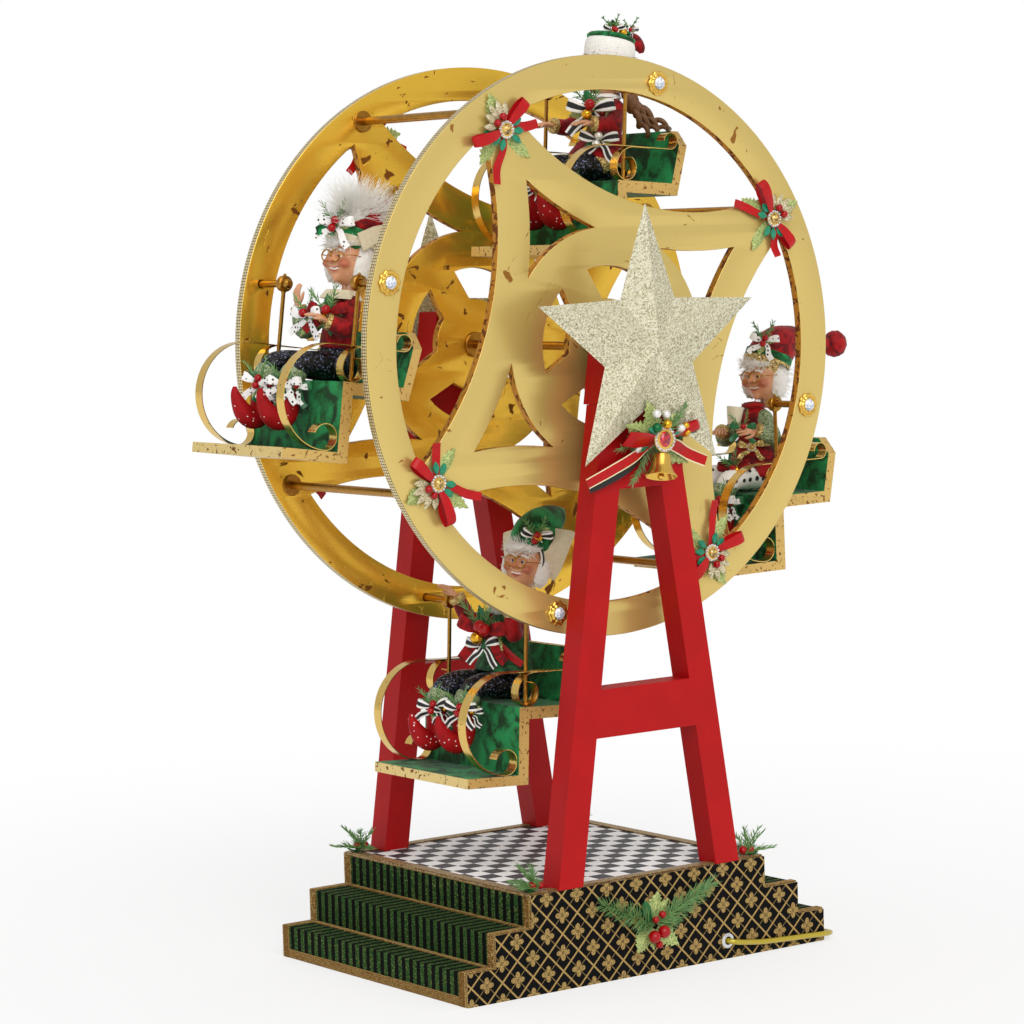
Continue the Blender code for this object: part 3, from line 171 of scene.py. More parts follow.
curve = bpy.data.curves.new("power_cord", "CURVE")
curve.dimensions = "3D"
curve.bevel_depth = CORD_RADIUS
curve.bevel_resolution = 4
curve.use_fill_caps = True
spline = curve.splines.new("POLY")
spline.points.add(len(cord_path) - 1)
spline.points.foreach_set("co", np.column_stack([cord_path, np.ones(len(cord_path))]).ravel())
flex, _, flex_shader = new_material("clear gold flex", "b8a21c", 0.22, 0.35)
feed(flex_shader, "Coat Weight", 0.6)
curve.materials.append(flex)
cord = bpy.data.objects.new("power_cord", curve)
bpy.context.scene.collection.objects.link(cord)
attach(cord, "stand")
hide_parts("power_cord_run", "power_cord_coil")
nodes["power_plug"].data.materials.clear()
nodes["power_plug"].data.materials.append(flex)

# Studio: a pale floor, an even white surround and one broad soft lamp from the left of the camera
FLOOR_HALF = 60.0
FADE_START, FADE_END, FADE_LEAST = 0.35, 1.6, 0.6
SURROUND_LEVEL = 0.68
LAMP_POWER, LAMP_SPREAD, LAMP_AIM = 1.55, math.radians(50), (0.45, 1.0, -0.75)


def add(tree, kind, inputs=None, **settings):
    """Adds a node; inputs maps a socket's name or index to a value or to another node's output."""
    node = tree.nodes.new(kind)
    for key, value in settings.items():
        setattr(node, key, value)
    for key, value in (inputs or {}).items():
        feed(node, key, value)
    return node


def tree_of(*values):
    """The node tree of the first output among these values."""
    return next(value.id_data for value in values if isinstance(value, bpy.types.NodeSocket))


def calc(operation, a, b=0.0, c=0.0):
    """The result of one math node."""
    return add(tree_of(a, b, c), "ShaderNodeMath", {0: a, 1: b, 2: c}, operation=operation).outputs[0]


def mix(factor, a, b):
    """Colour a where factor is 0 and b where it is 1."""
    return add(tree_of(factor, a, b), "ShaderNodeMix", {0: factor, 6: a, 7: b}, data_type="RGBA").outputs[2]


def ease(value, low, high):
    """0 below low and 1 above high, with a smooth step between."""
    limits = {0: value, 1: low, 2: high}
    return add(tree_of(value), "ShaderNodeMapRange", limits, interpolation_type="SMOOTHSTEP").outputs[0]


floor_mesh = bpy.data.meshes.new("floor")
corners = [(x * FLOOR_HALF, y * FLOOR_HALF, 0) for x, y in ((-1, -1), (1, -1), (1, 1), (-1, 1))]
floor_mesh.from_pydata(corners, [], [(0, 1, 2, 3)])
floor = bpy.data.objects.new("floor", floor_mesh)
bpy.context.scene.collection.objects.link(floor)
floor_paint, tree, shader = new_material("pale floor", "fafafa", 0.9)
rays = add(tree, "ShaderNodeLightPath").outputs
seen = calc("MAXIMUM", rays["Is Camera Ray"], rays["Is Glossy Ray"])
place = add(tree, "ShaderNodeTexCoord").outputs["Object"]
reach = add(tree, "ShaderNodeVectorMath", {0: place}, operation="LENGTH").outputs["Value"]
away = add(tree, "ShaderNodeMapRange", {0: reach, 1: FADE_START, 2: FADE_END, 3: FADE_LEAST},
           interpolation_type="SMOOTHSTEP").outputs[0]
white = add(tree, "ShaderNodeEmission").outputs[0]
blend = add(tree, "ShaderNodeMixShader", {0: calc("MULTIPLY", seen, away), 1: shader.outputs[0], 2: white})
feed(tree.nodes["Material Output"], "Surface", blend.outputs[0])
floor_mesh.materials.append(floor_paint)
world = bpy.data.worlds.new("surround")
bpy.context.scene.world = world
world.use_nodes = True
surround = world.node_tree
rays = add(surround, "ShaderNodeLightPath").outputs
seen = calc("MAXIMUM", rays["Is Camera Ray"], rays["Is Transmission Ray"])
strength = add(
    surround, "ShaderNodeMapRange", {"Value": seen, "To Min": SURROUND_LEVEL, "To Max": 1.0}
).outputs[0]
feed(surround.nodes["Background"], "Strength", strength)
feed(surround.nodes["Background"], "Color", (1.0, 1.0, 1.0, 1.0))
lamp = bpy.data.objects.new("soft lamp", bpy.data.lights.new("soft lamp", "SUN"))
bpy.context.scene.collection.objects.link(lamp)
lamp.data.energy = LAMP_POWER
lamp.data.angle = LAMP_SPREAD
lamp.rotation_euler = Vector(LAMP_AIM).to_track_quat("-Z", "Y").to_euler()
bpy.context.scene.view_settings.view_transform = "Standard"

# Side covers: black cloth with a woven gold lattice and four-petalled flowers, glued on the base's two sides
MM = 1000.0
LATTICE_PERIOD = 36.0
BRAID_SIZE = 0.0021


def noise(vector, scale, detail=2.0, distortion=0.0):
    """Soft noise from 0 to 1."""
    settings = {"Vector": vector, "Scale": scale, "Detail": detail, "Distortion": distortion}
    return add(tree_of(vector), "ShaderNodeTexNoise", settings).outputs[0]


def place_of(tree):
    """Object coordinates, and their three axes."""
    vector = add(tree, "ShaderNodeTexCoord").outputs["Object"]
    return vector, add(tree, "ShaderNodeSeparateXYZ", {0: vector}).outputs


def bump(height, strength, distance):
    """The surface's normal, raised where height is."""
    settings = {"Height": height, "Strength": strength, "Distance": distance}
    return add(tree_of(height), "ShaderNodeBump", settings).outputs[0]


def make_group(name, inputs, outputs):
    """An empty shader node group, with its input sockets and its output node."""
    tree = bpy.data.node_groups.new(name, "ShaderNodeTree")
    for label, kind in inputs:
        tree.interface.new_socket(label, in_out="INPUT", socket_type="NodeSocket" + kind)
    for label, kind in outputs:
        tree.interface.new_socket(label, in_out="OUTPUT", socket_type="NodeSocket" + kind)
    return tree, tree.nodes.new("NodeGroupInput").outputs, tree.nodes.new("NodeGroupOutput")


def use_group(tree, group, **inputs):
    """The outputs of a node group with these inputs."""
    return add(tree, "ShaderNodeGroup", inputs, node_tree=group).outputs


def cloudy(name, dark, pale, scale, detail=2.0, roughness=0.5, metallic=0.0, distortion=0.0, relief=(),
           specular=None):
    """Two tones mixed by noise. Relief is the scale, strength and distance of a fine bump."""
    material, tree, shader = new_material(name, roughness=roughness, metallic=metallic)
    vector, _ = place_of(tree)
    clouds = noise(vector, scale, detail, distortion)
    feed(shader, "Base Color", mix(clouds, dark, pale))
    if relief:
        feed(shader, "Normal", bump(noise(vector, relief[0]), *relief[1:]))
    if specular is not None:
        feed(shader, "Specular IOR Level", specular)
    return material


def dress(node, *materials):
    """Gives a CAD node these materials."""
    data = nodes[node].data
    data.materials.clear()
    for material in materials:
        data.materials.append(material)
    return data


braid_group, ends, out = make_group(
    "woven braid", [("Vector", "Vector"), ("Size", "Float")], [("Shade", "Float"), ("Height", "Float")]
)
cells = add(
    braid_group, "ShaderNodeTexVoronoi",
    {"Vector": ends[0], "Scale": calc("DIVIDE", 1.0, ends[1]), "Randomness": 0.35}
)
beads = ease(cells.outputs["Distance"], 0.62, 0.12)
fleck = add(braid_group, "ShaderNodeSeparateColor", {0: cells.outputs["Color"]}).outputs[0]
feed(out, "Shade", calc("MULTIPLY", beads, calc("MULTIPLY_ADD", fleck, 0.5, 0.5)))
feed(out, "Height", beads)


def gold_braid_look(tree, size=BRAID_SIZE):
    """Colour and bump height of woven metallic braid in object coordinates."""
    vector, _ = place_of(tree)
    woven = use_group(tree, braid_group, Vector=vector, Size=size)
    return mix(woven["Shade"], "7a5624", "ecd090"), woven["Height"]


lattice, tree, shader = new_material("lattice cloth", roughness=0.62)
vector, (x, y, z) = place_of(tree)
x = calc("MULTIPLY", x, MM)
z = calc("MULTIPLY", z, MM)
rising = calc("DIVIDE", calc("ADD", x, z), LATTICE_PERIOD)
falling = calc("DIVIDE", calc("SUBTRACT", x, z), LATTICE_PERIOD)
near_flower = [calc("SUBTRACT", value, calc("ROUND", value)) for value in (rising, falling)]
lines = []
for value in near_flower:
    off = calc("ABSOLUTE", value)
    lines.append(calc("MAXIMUM", ease(off, 0.460, 0.472), calc("MULTIPLY", ease(off, 0.016, 0.008), 0.75)))
petal_x = calc("MULTIPLY", calc("ABSOLUTE", calc("ADD", *near_flower)), LATTICE_PERIOD / 2)
petal_z = calc("MULTIPLY", calc("ABSOLUTE", calc("SUBTRACT", *near_flower)), LATTICE_PERIOD / 2)
reach = calc("DIVIDE", calc("SUBTRACT", calc("MAXIMUM", petal_x, petal_z), 4.6), 3.4)
side = calc("DIVIDE", calc("MINIMUM", petal_x, petal_z), 2.7)
petal = calc("ADD", calc("MULTIPLY", reach, reach), calc("MULTIPLY", side, side))
vein = ease(noise(vector, 700.0), 0.36, 0.5)
flower = calc("MULTIPLY", ease(petal, 1.0, 0.86), calc("MULTIPLY_ADD", vein, 0.7, 0.3))
gold_line = calc("MAXIMUM", lines[0], lines[1])
thread = calc("MULTIPLY_ADD", ease(noise(vector, 1100.0), 0.3, 0.6), 0.55, 0.45)
gold = calc("MULTIPLY", calc("MAXIMUM", flower, gold_line), thread)
feed(shader, "Base Color", mix(gold, "060505", "c0a062"))
feed(shader, "Metallic", calc("MULTIPLY", gold, 0.45))
feed(shader, "Specular IOR Level", 0.1)
feed(shader, "Normal", bump(gold, 0.4, 0.0006))
edge_braid, tree, shader = new_material("edge braid", roughness=0.42, metallic=0.55)
colour, height = gold_braid_look(tree)
feed(shader, "Base Color", colour)
feed(shader, "Normal", bump(height, 0.6, 0.0008))
for name in ("near_side_cover", "far_side_cover"):
    data = dress(name, lattice, edge_braid)
    for polygon in data.polygons:
        polygon.material_index = 0 if abs(polygon.normal.y) > 0.5 else 1

# Base core: plain board inside the covers, seen only on the underside
board, _, _ = new_material("board", "a08058", 0.85)
dress("base_core", board)

# Stair carpets: green and black striped pile over the risers and treads, with sewn braid on edges and corners
BRAID_EDGE = 0.1479
FLIGHT_EDGES = ((0.1867, 0.0318), (0.1440, 0.0636))
STRIPE_PERIOD = 0.0123
carpet, tree, shader = new_material("stair carpet", roughness=0.9)
feed(shader, "Specular IOR Level", 0.1)
vector, (x, y, z) = place_of(tree)
across = calc("ABSOLUTE", y)
stripe = calc("ABSOLUTE", calc("SUBTRACT", calc("FRACT", calc("DIVIDE", y, STRIPE_PERIOD)), 0.5))
wobble = calc("MULTIPLY_ADD", calc("SUBTRACT", noise(vector, 500.0), 0.5), 0.12, stripe)
green = ease(wobble, 0.22, 0.27)
fleck = calc("MULTIPLY", ease(noise(vector, 900.0), 0.58, 0.66), green)
pile = mix(noise(vector, 420.0), "10290f", "2c5628")
striped = mix(fleck, mix(green, "080a07", pile), "8e9450")
mask = ease(across, BRAID_EDGE - 0.0003, BRAID_EDGE)
along = calc("ABSOLUTE", x)
foot = calc("MULTIPLY", calc("GREATER_THAN", along, 0.2195), calc("LESS_THAN", z, 0.0091))
mask = calc("MAXIMUM", mask, foot)
for edge, tread in FLIGHT_EDGES:
    near_edge = calc("COMPARE", along, edge + 0.0020, 0.0028)
    on_tread = calc("COMPARE", z, tread, 0.0012)
    mask = calc("MAXIMUM", mask, calc("MULTIPLY", near_edge, on_tread))
colour, height = gold_braid_look(tree, 0.0017)
feed(shader, "Base Color", mix(mask, striped, colour))
feed(shader, "Metallic", calc("MULTIPLY", mask, 0.5))
relief = calc("ADD", calc("MULTIPLY", height, mask), noise(vector, 700.0))
feed(shader, "Normal", bump(relief, 0.5, 0.0008))
for name in ("left_stair_carpet", "right_stair_carpet"):
    dress(name, carpet)

# Platform cover: printed charcoal and white check cloth, glued on the top board
CHECK_SIZE = 0.0193
check, tree, shader = new_material("check cloth", roughness=0.55)
vector, _ = place_of(tree)
shifted = add(
    tree, "ShaderNodeVectorMath", {0: vector, 1: (CHECK_SIZE * 0.4, CHECK_SIZE * 0.2, 0.5)},
    operation="ADD"
).outputs[0]
squares = add(
    tree, "ShaderNodeTexChecker",
    {"Vector": shifted, "Color1": "3b373b", "Color2": "ffffff", "Scale": 1 / CHECK_SIZE}
).outputs[0]
feed(shader, "Base Color", squares)
data = dress("platform_cover", check, edge_braid)
for polygon in data.polygons:
    polygon.material_index = 0 if abs(polygon.normal.z) > 0.5 else 1

# Platform braid: a flat woven border laid round the platform's edge and under the frames' feet
PLATFORM_TOP = 0.0954
BRAID_THICKNESS = 0.0012
WELD_REACH = 1e-6


def link_mesh(name, data, materials, body, slot=None, replaces=(), sharp=40):
    """Makes a piece of mesh data, smooth except at sharp edges, that rides on a body."""
    for material in materials:
        data.materials.append(material)
    data.shade_smooth()
    data.set_sharp_from_angle(angle=math.radians(sharp))
    obj = bpy.data.objects.new(name, data)
    bpy.context.scene.collection.objects.link(obj)
    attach(obj, body)
    if replaces:
        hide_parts(*replaces)
    return obj


def grid(points, wrap=(False, False), skin=0):
    """Quads over an (n, m, 3) array of points, closed along a direction where wrap says so.

    UV at row i, column j = (i / rows, j / columns), kept by corner so that a closed way has a seam.
    """
    points = np.asarray(points, float)
    n, m = points.shape[:2]
    rows, columns = (n if wrap[0] else n - 1), (m if wrap[1] else m - 1)
    i, j = (a.ravel() for a in np.meshgrid(np.arange(rows), np.arange(columns), indexing="ij"))
    corners = [(i, j), (i + 1, j), (i + 1, j + 1), (i, j + 1)]
    faces = np.stack([(a % n) * m + b % m for a, b in corners], 1)
    uvs = np.stack([np.stack((a / rows, b / columns), 1) for a, b in corners], 1)
    return points.reshape(-1, 3), faces, uvs, np.full(len(faces), skin)


def moved(part, matrix):
    """The same part under a 4 by 4 matrix."""
    matrix = np.array(matrix)
    return part[0] @ matrix[:3, :3].T + matrix[:3, 3], *part[1:]


def scatter(part, matrices):
    """One part made of a copy of part under each matrix."""
    matrices = np.array([np.array(matrix) for matrix in matrices])
    points, faces, uvs, skins = part
    placed = np.einsum("kij,vj->kvi", matrices[:, :3, :3], points) + matrices[:, None, :3, 3]
    count = len(matrices)
    shifted = faces[None] + (np.arange(count) * len(points))[:, None, None]
    return placed.reshape(-1, 3), shifted.reshape(-1, 4), np.tile(uvs, (count, 1, 1)), np.tile(skins, count)


def tube(path, wide, deep=None, across=None, sides=8, skin=0, fold=0.0, square=False):
    """A closed band or limb along path: p + wide cos(a) w + (deep sin(a) - fold wide |cos(a)|) d.

    w is across made square to the path, and d is square to both. The ends come to a point.
    """
    path = np.asarray(path, float)
    n = len(path)
    wide = np.broadcast_to(np.asarray(wide, float), n).copy()
    deep = wide.copy() if deep is None else np.broadcast_to(np.asarray(deep, float), n).copy()
    tangent = np.gradient(path, axis=0)
    tangent /= np.linalg.norm(tangent, axis=1, keepdims=True)
    if across is None:
        across = np.eye(3)[np.argmin(np.abs(tangent).mean(0))]
    w = np.broadcast_to(np.asarray(across, float), (n, 3))
    w = w - (w * tangent).sum(1, keepdims=True) * tangent
    w /= np.linalg.norm(w, axis=1, keepdims=True)
    d = np.cross(tangent, w)
    path, w, d = (np.vstack([a[:1], a, a[-1:]]) for a in (path, w, d))
    wide, deep = (np.concatenate([[0.0], a, [0.0]]) for a in (wide, deep))
    angle = 2 * np.pi * (np.arange(sides) + (0.5 if square else 0.0)) / sides
    stretch = 1 / math.cos(math.pi / sides) if square else 1.0
    c, s = np.cos(angle) * stretch, np.sin(angle) * stretch
    droop = fold * wide[:, None] * np.abs(c)
    sideways = (wide[:, None] * c)[..., None] * w[:, None]
    ahead = (deep[:, None] * s - droop)[..., None] * d[:, None]
    return grid(path[:, None] + sideways + ahead, (False, True), skin)


def turned(profile, sides=24, skin=0):
    """A turned shape about Z from (radius, height) rows: (r cos a, r sin a, h)."""
    profile = np.asarray(profile, float)
    angle = 2 * np.pi * np.arange(sides) / sides
    ring = np.stack([np.cos(angle), np.sin(angle), np.zeros(sides)], 1)
    points = profile[:, None, :1] * ring + profile[:, None, 1:] * np.array((0, 0, 1.0))
    return grid(points, (False, True), skin)


def ball(centre, radius, sides=12, rows=8, skin=0):
    """A sphere with its poles on Z."""
    a = np.linspace(0, np.pi, rows + 1)
    part = turned(np.stack([np.sin(a), -np.cos(a)], 1), sides, skin)
    return part[0] * radius + np.array(centre), *part[1:]


def weld(data):
    """Joins points of mesh data that meet and turns its faces outward."""
    mesh = bmesh.new()
    mesh.from_mesh(data)
    bmesh.ops.remove_doubles(mesh, verts=mesh.verts, dist=WELD_REACH)
    bmesh.ops.recalc_face_normals(mesh, faces=mesh.faces)
    mesh.to_mesh(data)
    mesh.free()


def join_parts(name, parts, materials, body, **words):
    """Makes one piece of parts, welded where they meet, with faces outward and only the materials in use."""
    start = np.cumsum([0] + [len(part[0]) for part in parts])
    points = np.vstack([part[0] for part in parts])
    faces = np.vstack([part[1] + s for part, s in zip(parts, start)])
    data = bpy.data.meshes.new(name)
    data.from_pydata(points, [], faces.tolist())
    layer = data.uv_layers.new(name="UVMap")
    layer.data.foreach_set("uv", np.concatenate([part[2].reshape(-1, 2) for part in parts]).ravel())
    used, indices = np.unique(np.concatenate([part[3] for part in parts]), return_inverse=True)
    data.polygons.foreach_set("material_index", indices.astype(np.int32))
    weld(data)
    return link_mesh(name, data, [materials[k] for k in used], body, **words)


PLATFORM_HALF_X, PLATFORM_HALF_Y, BORDER_HALF, BORDER_LIFT, BORDER_STEPS = 0.144, 0.1567, 0.0055, 0.0003, 12
half_x, half_y = PLATFORM_HALF_X - BORDER_HALF, PLATFORM_HALF_Y - BORDER_HALF
corners = np.array([(-half_x, -half_y), (half_x, -half_y), (half_x, half_y), (-half_x, half_y)])
border = []
for k in range(4):
    a, b = corners[k], corners[(k + 1) % 4]
    along = (b - a) / np.linalg.norm(b - a)
    outward = np.array((along[1], -along[0]))
    rows = []
    for h in (0.0, BRAID_THICKNESS):
        for reach in ((-BORDER_HALF, BORDER_HALF) if h == 0 else (BORDER_HALF, -BORDER_HALF)):
            start = a - along * reach + outward * reach
            end = b + along * reach + outward * reach
            level = PLATFORM_TOP + BORDER_LIFT + h
            rows.append([(*(start + (end - start) * t), level) for t in np.linspace(0, 1, BORDER_STEPS)])
    border.append(grid(np.array(rows), (True, False)))
join_parts("platform_border", border, [edge_braid], "stand", slot="gold_braid", replaces=["platform_braid"])

# A-frames and head blocks: painted board, screwed to the base, with edges slightly rounded by the paint
red_paint, tree, shader = new_material("red paint", roughness=0.5)
feed(shader, "Specular IOR Level", 0.2)
vector, _ = place_of(tree)
worn = ease(noise(vector, 24.0, 3.0), 0.35, 0.7)
feed(shader, "Base Color", mix(worn, "a8070b", "b0080c"))
feed(shader, "Normal", bump(noise(vector, 240.0, 3.0), 0.05, 0.0008))


def rounded(node, width):
    """Rounds a CAD node's sharp edges and keeps its flat faces flat."""
    bevel = nodes[node].modifiers.new("rounded", "BEVEL")
    bevel.width = width
    bevel.segments = 2
    bevel.limit_method = "ANGLE"
    bevel.angle_limit = math.radians(35)
    bevel.harden_normals = True


for name in ("near_a_frame", "far_a_frame", "near_head_housing", "far_head_housing"):
    dress(name, red_paint)
    rounded(name, 0.0007)

# Gear motor: a plain turned can let into the near head block, which hides all but its face
motor_steel, _, _ = new_material("motor steel", "b4b4b0", 0.35, 1.0)
dress("gear_motor", motor_steel)

# Cord eyelet: plated steel ring pressed into the near side cover
plate_steel, _, _ = new_material("plated eyelet", "dedede", 0.22, 1.0)
dress("cord_eyelet", plate_steel)

# Stars: folded board coated with champagne glitter, glued to the head blocks by a boss at the back
GLITTER_SIZE = 0.0011
glitter_group, ends, out = make_group(
    "glitter", [("Vector", "Vector"), ("Size", "Float")], [("Shade", "Float"), ("Normal", "Vector")]
)
cells = add(
    glitter_group, "ShaderNodeTexVoronoi", {"Vector": ends[0], "Scale": calc("DIVIDE", 1.0, ends[1])}
)
fleck = add(glitter_group, "ShaderNodeSeparateColor", {0: cells.outputs["Color"]}).outputs[0]
lean = add(
    glitter_group, "ShaderNodeVectorMath", {0: cells.outputs["Color"], 1: (0.5, 0.5, 0.5)},
    operation="SUBTRACT"
).outputs[0]
lean = add(glitter_group, "ShaderNodeVectorMath", {0: lean, "Scale": 0.9}, operation="SCALE").outputs[0]
flat = add(glitter_group, "ShaderNodeNewGeometry").outputs["Normal"]
leant = add(glitter_group, "ShaderNodeVectorMath", {0: lean, 1: flat}, operation="ADD").outputs[0]
leant = add(glitter_group, "ShaderNodeVectorMath", {0: leant}, operation="NORMALIZE").outputs[0]
feed(out, "Shade", fleck)
feed(out, "Normal", leant)


def glitter_look(name, dark, pale, size=GLITTER_SIZE, metallic=0.35, roughness=0.45):
    """A glitter coat whose flecks run from a dark to a pale colour: the pair sets the flakes' own hue, and
    the spread between them is painted glint and shade.
    """
    material, tree, shader = new_material(name, roughness=roughness, metallic=metallic)
    flecks = use_group(tree, glitter_group, Vector=place_of(tree)[0], Size=size)
    # Painted glints and shade: each fleck's brightness between dark and pale stands for the light it catches.
    feed(shader, "Base Color", mix(flecks["Shade"], dark, pale))
    feed(shader, "Normal", flecks["Normal"])
    return material


# The star glitter's dark and pale flecks are painted glint and shade over champagne glitter.
star_glitter = glitter_look("star glitter", "8f865e", "fbf6dc")
for name in ("near_star", "far_star"):
    dress(name, star_glitter)

# Wheel discs: sawn board under metal leaf, with cracked leaf on the flats, a bare brown-orange edge in the
# openings and a beaded braid glued round the rim. Both are fast on the axle.
HUB = np.array((0.0, 0.606))
DISC_RADIUS, RING_INNER = 0.280, 0.2465
DISC_FACES = (0.1055, 0.1145)
ARM_ANGLE, PIVOT_RADIUS = math.radians(164.6), 0.262
ARC_DISTANCE, ARC_OUTER, ARC_INNER = 0.4483, 0.3053, 0.343
HUB_DISC, WINDOW = 0.1155, ((0.078, math.radians(32)), (0.0465, math.radians(21)))
DISC_BEVEL = 0.0006


def polar(radius, angle, centre=(0.0, 0.0)):
    """Points about a centre: (cx + r cos a, cz + r sin a)."""
    return np.stack([centre[0] + radius * np.cos(angle), centre[1] + radius * np.sin(angle)], -1)


def arc_crossing(radius, edge):
    """Angle from an arm at which its arc of radius edge crosses a circle about the hub."""
    return np.arccos((radius**2 + ARC_DISTANCE**2 - edge**2) / (2 * radius * ARC_DISTANCE))


def disc_loops():
    """Outline of the disc, then its lens, corner, window, pin and axle holes, drawn about the hub."""
    loops = [polar(DISC_RADIUS, np.linspace(0, 2 * np.pi, 241)[:-1])]
    round_hole = np.linspace(0, 2 * np.pi, 33)[:-1]
    loops.append(polar(0.0046, round_hole))
    for k in range(4):
        arm = ARM_ANGLE + k * np.pi / 2
        half = arc_crossing(RING_INNER, ARC_OUTER)
        turn = np.arcsin(RING_INNER * np.sin(half) / ARC_OUTER)
        rim = polar(RING_INNER, np.linspace(arm - half, arm + half, 57))
        waist = polar(
            ARC_OUTER, np.linspace(arm + np.pi - turn, arm + np.pi + turn, 49), polar(ARC_DISTANCE, arm)
        )
        loops.append(np.vstack([rim, waist[1:-1]]))
        half = arc_crossing(HUB_DISC, ARC_INNER)
        across = ARC_DISTANCE * math.sin(np.pi / 4)
        tip = across - math.sqrt(ARC_INNER**2 - across**2)
        radii = np.linspace(HUB_DISC, tip, 18)[1:-1]
        bend = arc_crossing(radii, ARC_INNER)
        hub = polar(HUB_DISC, np.linspace(arm + half, arm + np.pi / 2 - half, 21))
        rising = polar(radii, arm + np.pi / 2 - bend)
        falling = polar(radii, arm + bend)[::-1]
        loops.append(np.vstack([hub, rising, [polar(tip, arm + np.pi / 4)], falling]))
        (outer, wide), (inner, narrow) = WINDOW
        loops.append(np.vstack([
            polar(outer, np.linspace(arm - wide, arm + wide, 15)),
            polar(inner, np.linspace(arm + narrow, arm - narrow, 7)),
        ]))
        loops.append(polar(0.0041, round_hole, polar(PIVOT_RADIUS, arm)))
    return loops


def disc_mesh(low, high):
    """The plate cut to disc_loops between two levels of Y, filled as a flat curve and turned upright."""
    flat = bpy.data.curves.new("disc outline", "CURVE")
    flat.dimensions = "2D"
    flat.fill_mode = "BOTH"
    flat.extrude = (high - low) / 2 - DISC_BEVEL
    flat.bevel_depth = DISC_BEVEL
    flat.bevel_resolution = 1
    flat.offset = -DISC_BEVEL
    for loop in disc_loops():
        spline = flat.splines.new("POLY")
        spline.points.add(len(loop) - 1)
        spline.points.foreach_set(
            "co", np.column_stack([loop, np.zeros(len(loop)), np.ones(len(loop))]).ravel()
        )
        spline.use_cyclic_u = True
    helper = bpy.data.objects.new("disc outline", flat)
    bpy.context.scene.collection.objects.link(helper)
    data = bpy.data.meshes.new_from_object(helper)
    bpy.data.objects.remove(helper)
    bpy.data.curves.remove(flat)
    data.materials.clear()
    upright = Matrix.Translation((0.0, (low + high) / 2, HUB[1])) @ Matrix.Rotation(math.pi / 2, 4, "X")
    data.transform(upright)
    weld(data)
    return data


wear_group, ends, out = make_group(
    "leaf wear", [("Vector", "Vector"), ("Wear", "Float")], [("Mask", "Float"), ("Height", "Float")]
)
wander = noise(ends[0], 26.0, 3.0)
sway = {0: calc("MULTIPLY", wander, 0.05), 2: calc("MULTIPLY", wander, 0.03)}
drift = add(wear_group, "ShaderNodeCombineXYZ", sway).outputs[0]
bent = add(wear_group, "ShaderNodeVectorMath", {0: ends[0], 1: drift}, operation="ADD").outputs[0]
cracks = add(
    wear_group, "ShaderNodeTexVoronoi", {"Vector": bent, "Scale": 17.0}, feature="DISTANCE_TO_EDGE"
).outputs["Distance"]
fray = calc("MULTIPLY", noise(ends[0], 190.0, 3.0), 0.05)
line = ease(calc("ADD", cracks, fray), 0.034, 0.022)
here = ease(noise(ends[0], 14.0, 2.0), calc("SUBTRACT", 0.72, ends[1]), calc("SUBTRACT", 0.80, ends[1]))
spots = noise(ends[0], 55.0, 6.0, 0.6)
patch = ease(spots, calc("SUBTRACT", 0.80, ends[1]), calc("SUBTRACT", 0.82, ends[1]))
mask = calc("MAXIMUM", calc("MULTIPLY", line, here), patch)
feed(out, "Mask", mask)
ripple = calc("MULTIPLY", noise(ends[0], 45.0, 4.0), 0.6)
feed(out, "Height", calc("SUBTRACT", ripple, mask))


def leaf_look(name, gold, brown, wear, roughness, metallic=0.85, relief=0.3, fineness=1.0):
    """Metal leaf over brown ground colour, worn through by an amount, in a pattern some times finer."""
    material, tree, shader = new_material(name, metallic=metallic)
    vector = add(
        tree, "ShaderNodeVectorMath", {0: place_of(tree)[0], "Scale": fineness}, operation="SCALE"
    ).outputs[0]
    worn = use_group(tree, wear_group, Vector=vector, Wear=wear)
    feed(shader, "Base Color", mix(worn["Mask"], gold, brown))
    feed(shader, "Roughness", mix(worn["Mask"], (roughness,) * 3 + (1.0,), (0.75, 0.75, 0.75, 1.0)))
    feed(shader, "Normal", bump(worn["Height"], relief, 0.0015))
    return material


face_leaf = leaf_look("gold leaf outer faces", "dabf70", "9c6a28", 0.11, 0.32, 0.6, 0.16)
bright_leaf = leaf_look("gold leaf inner faces", "efc042", "8a5418", 0.155, 0.24, 0.75, 0.4)
cut_edge = leaf_look("gold leaf cut edges", "c98a28", "7a4212", 0.26, 0.5, 0.5, 0.5, 2.5)
rim_braid, tree, shader = new_material("beaded rim braid", roughness=0.4, metallic=0.6)
vector, (x, y, z) = place_of(tree)
turn = calc("ARCTAN2", calc("SUBTRACT", z, HUB[1]), x)
bead = calc("ABSOLUTE", calc("SINE", calc("MULTIPLY", turn, 300.0)))
row = calc("ABSOLUTE", calc("SINE", calc("MULTIPLY", y, math.pi / 0.0030)))
grain = calc("MULTIPLY", calc("MULTIPLY", bead, row), noise(vector, 800.0))
shade = ease(grain, 0.02, 0.26)
feed(shader, "Base Color", mix(shade, "6e5026", "ecdcab"))
feed(shader, "Normal", bump(shade, 0.6, 0.0006))
for name, side in (("near_disc", -1), ("far_disc", 1)):
    low, high = sorted(side * y for y in DISC_FACES)
    data = disc_mesh(low, high)
    for polygon in data.polygons:
        radius = math.hypot(polygon.center.x, polygon.center.z - HUB[1])
        if polygon.normal.y * side > 0.9:
            polygon.material_index = 0
        elif polygon.normal.y * side < -0.9:
            polygon.material_index = 1
        else:
            polygon.material_index = 3 if radius > DISC_RADIUS - 0.001 else 2
    link_mesh(
        name + "_leafed", data, [face_leaf, bright_leaf, cut_edge, rim_braid], "wheel", "gold_leaf",
        [name], 50
    )

# Axle: brass rod with flanges inside the discs and collars outside, keyed on the motor's shaft
brass = cloudy("aged brass", "7d5420", "c8963f", 300.0, 3.0, 0.28, 1.0)
UPRIGHT = Matrix.Rotation(-math.pi / 2, 4, "X")


def along_y(profile, centre, sides=32, skin=0):
    """A turned part from (radius, Y) rows, about the Y axis through centre."""
    return moved(turned(profile, sides, skin), Matrix.Translation(centre) @ UPRIGHT)


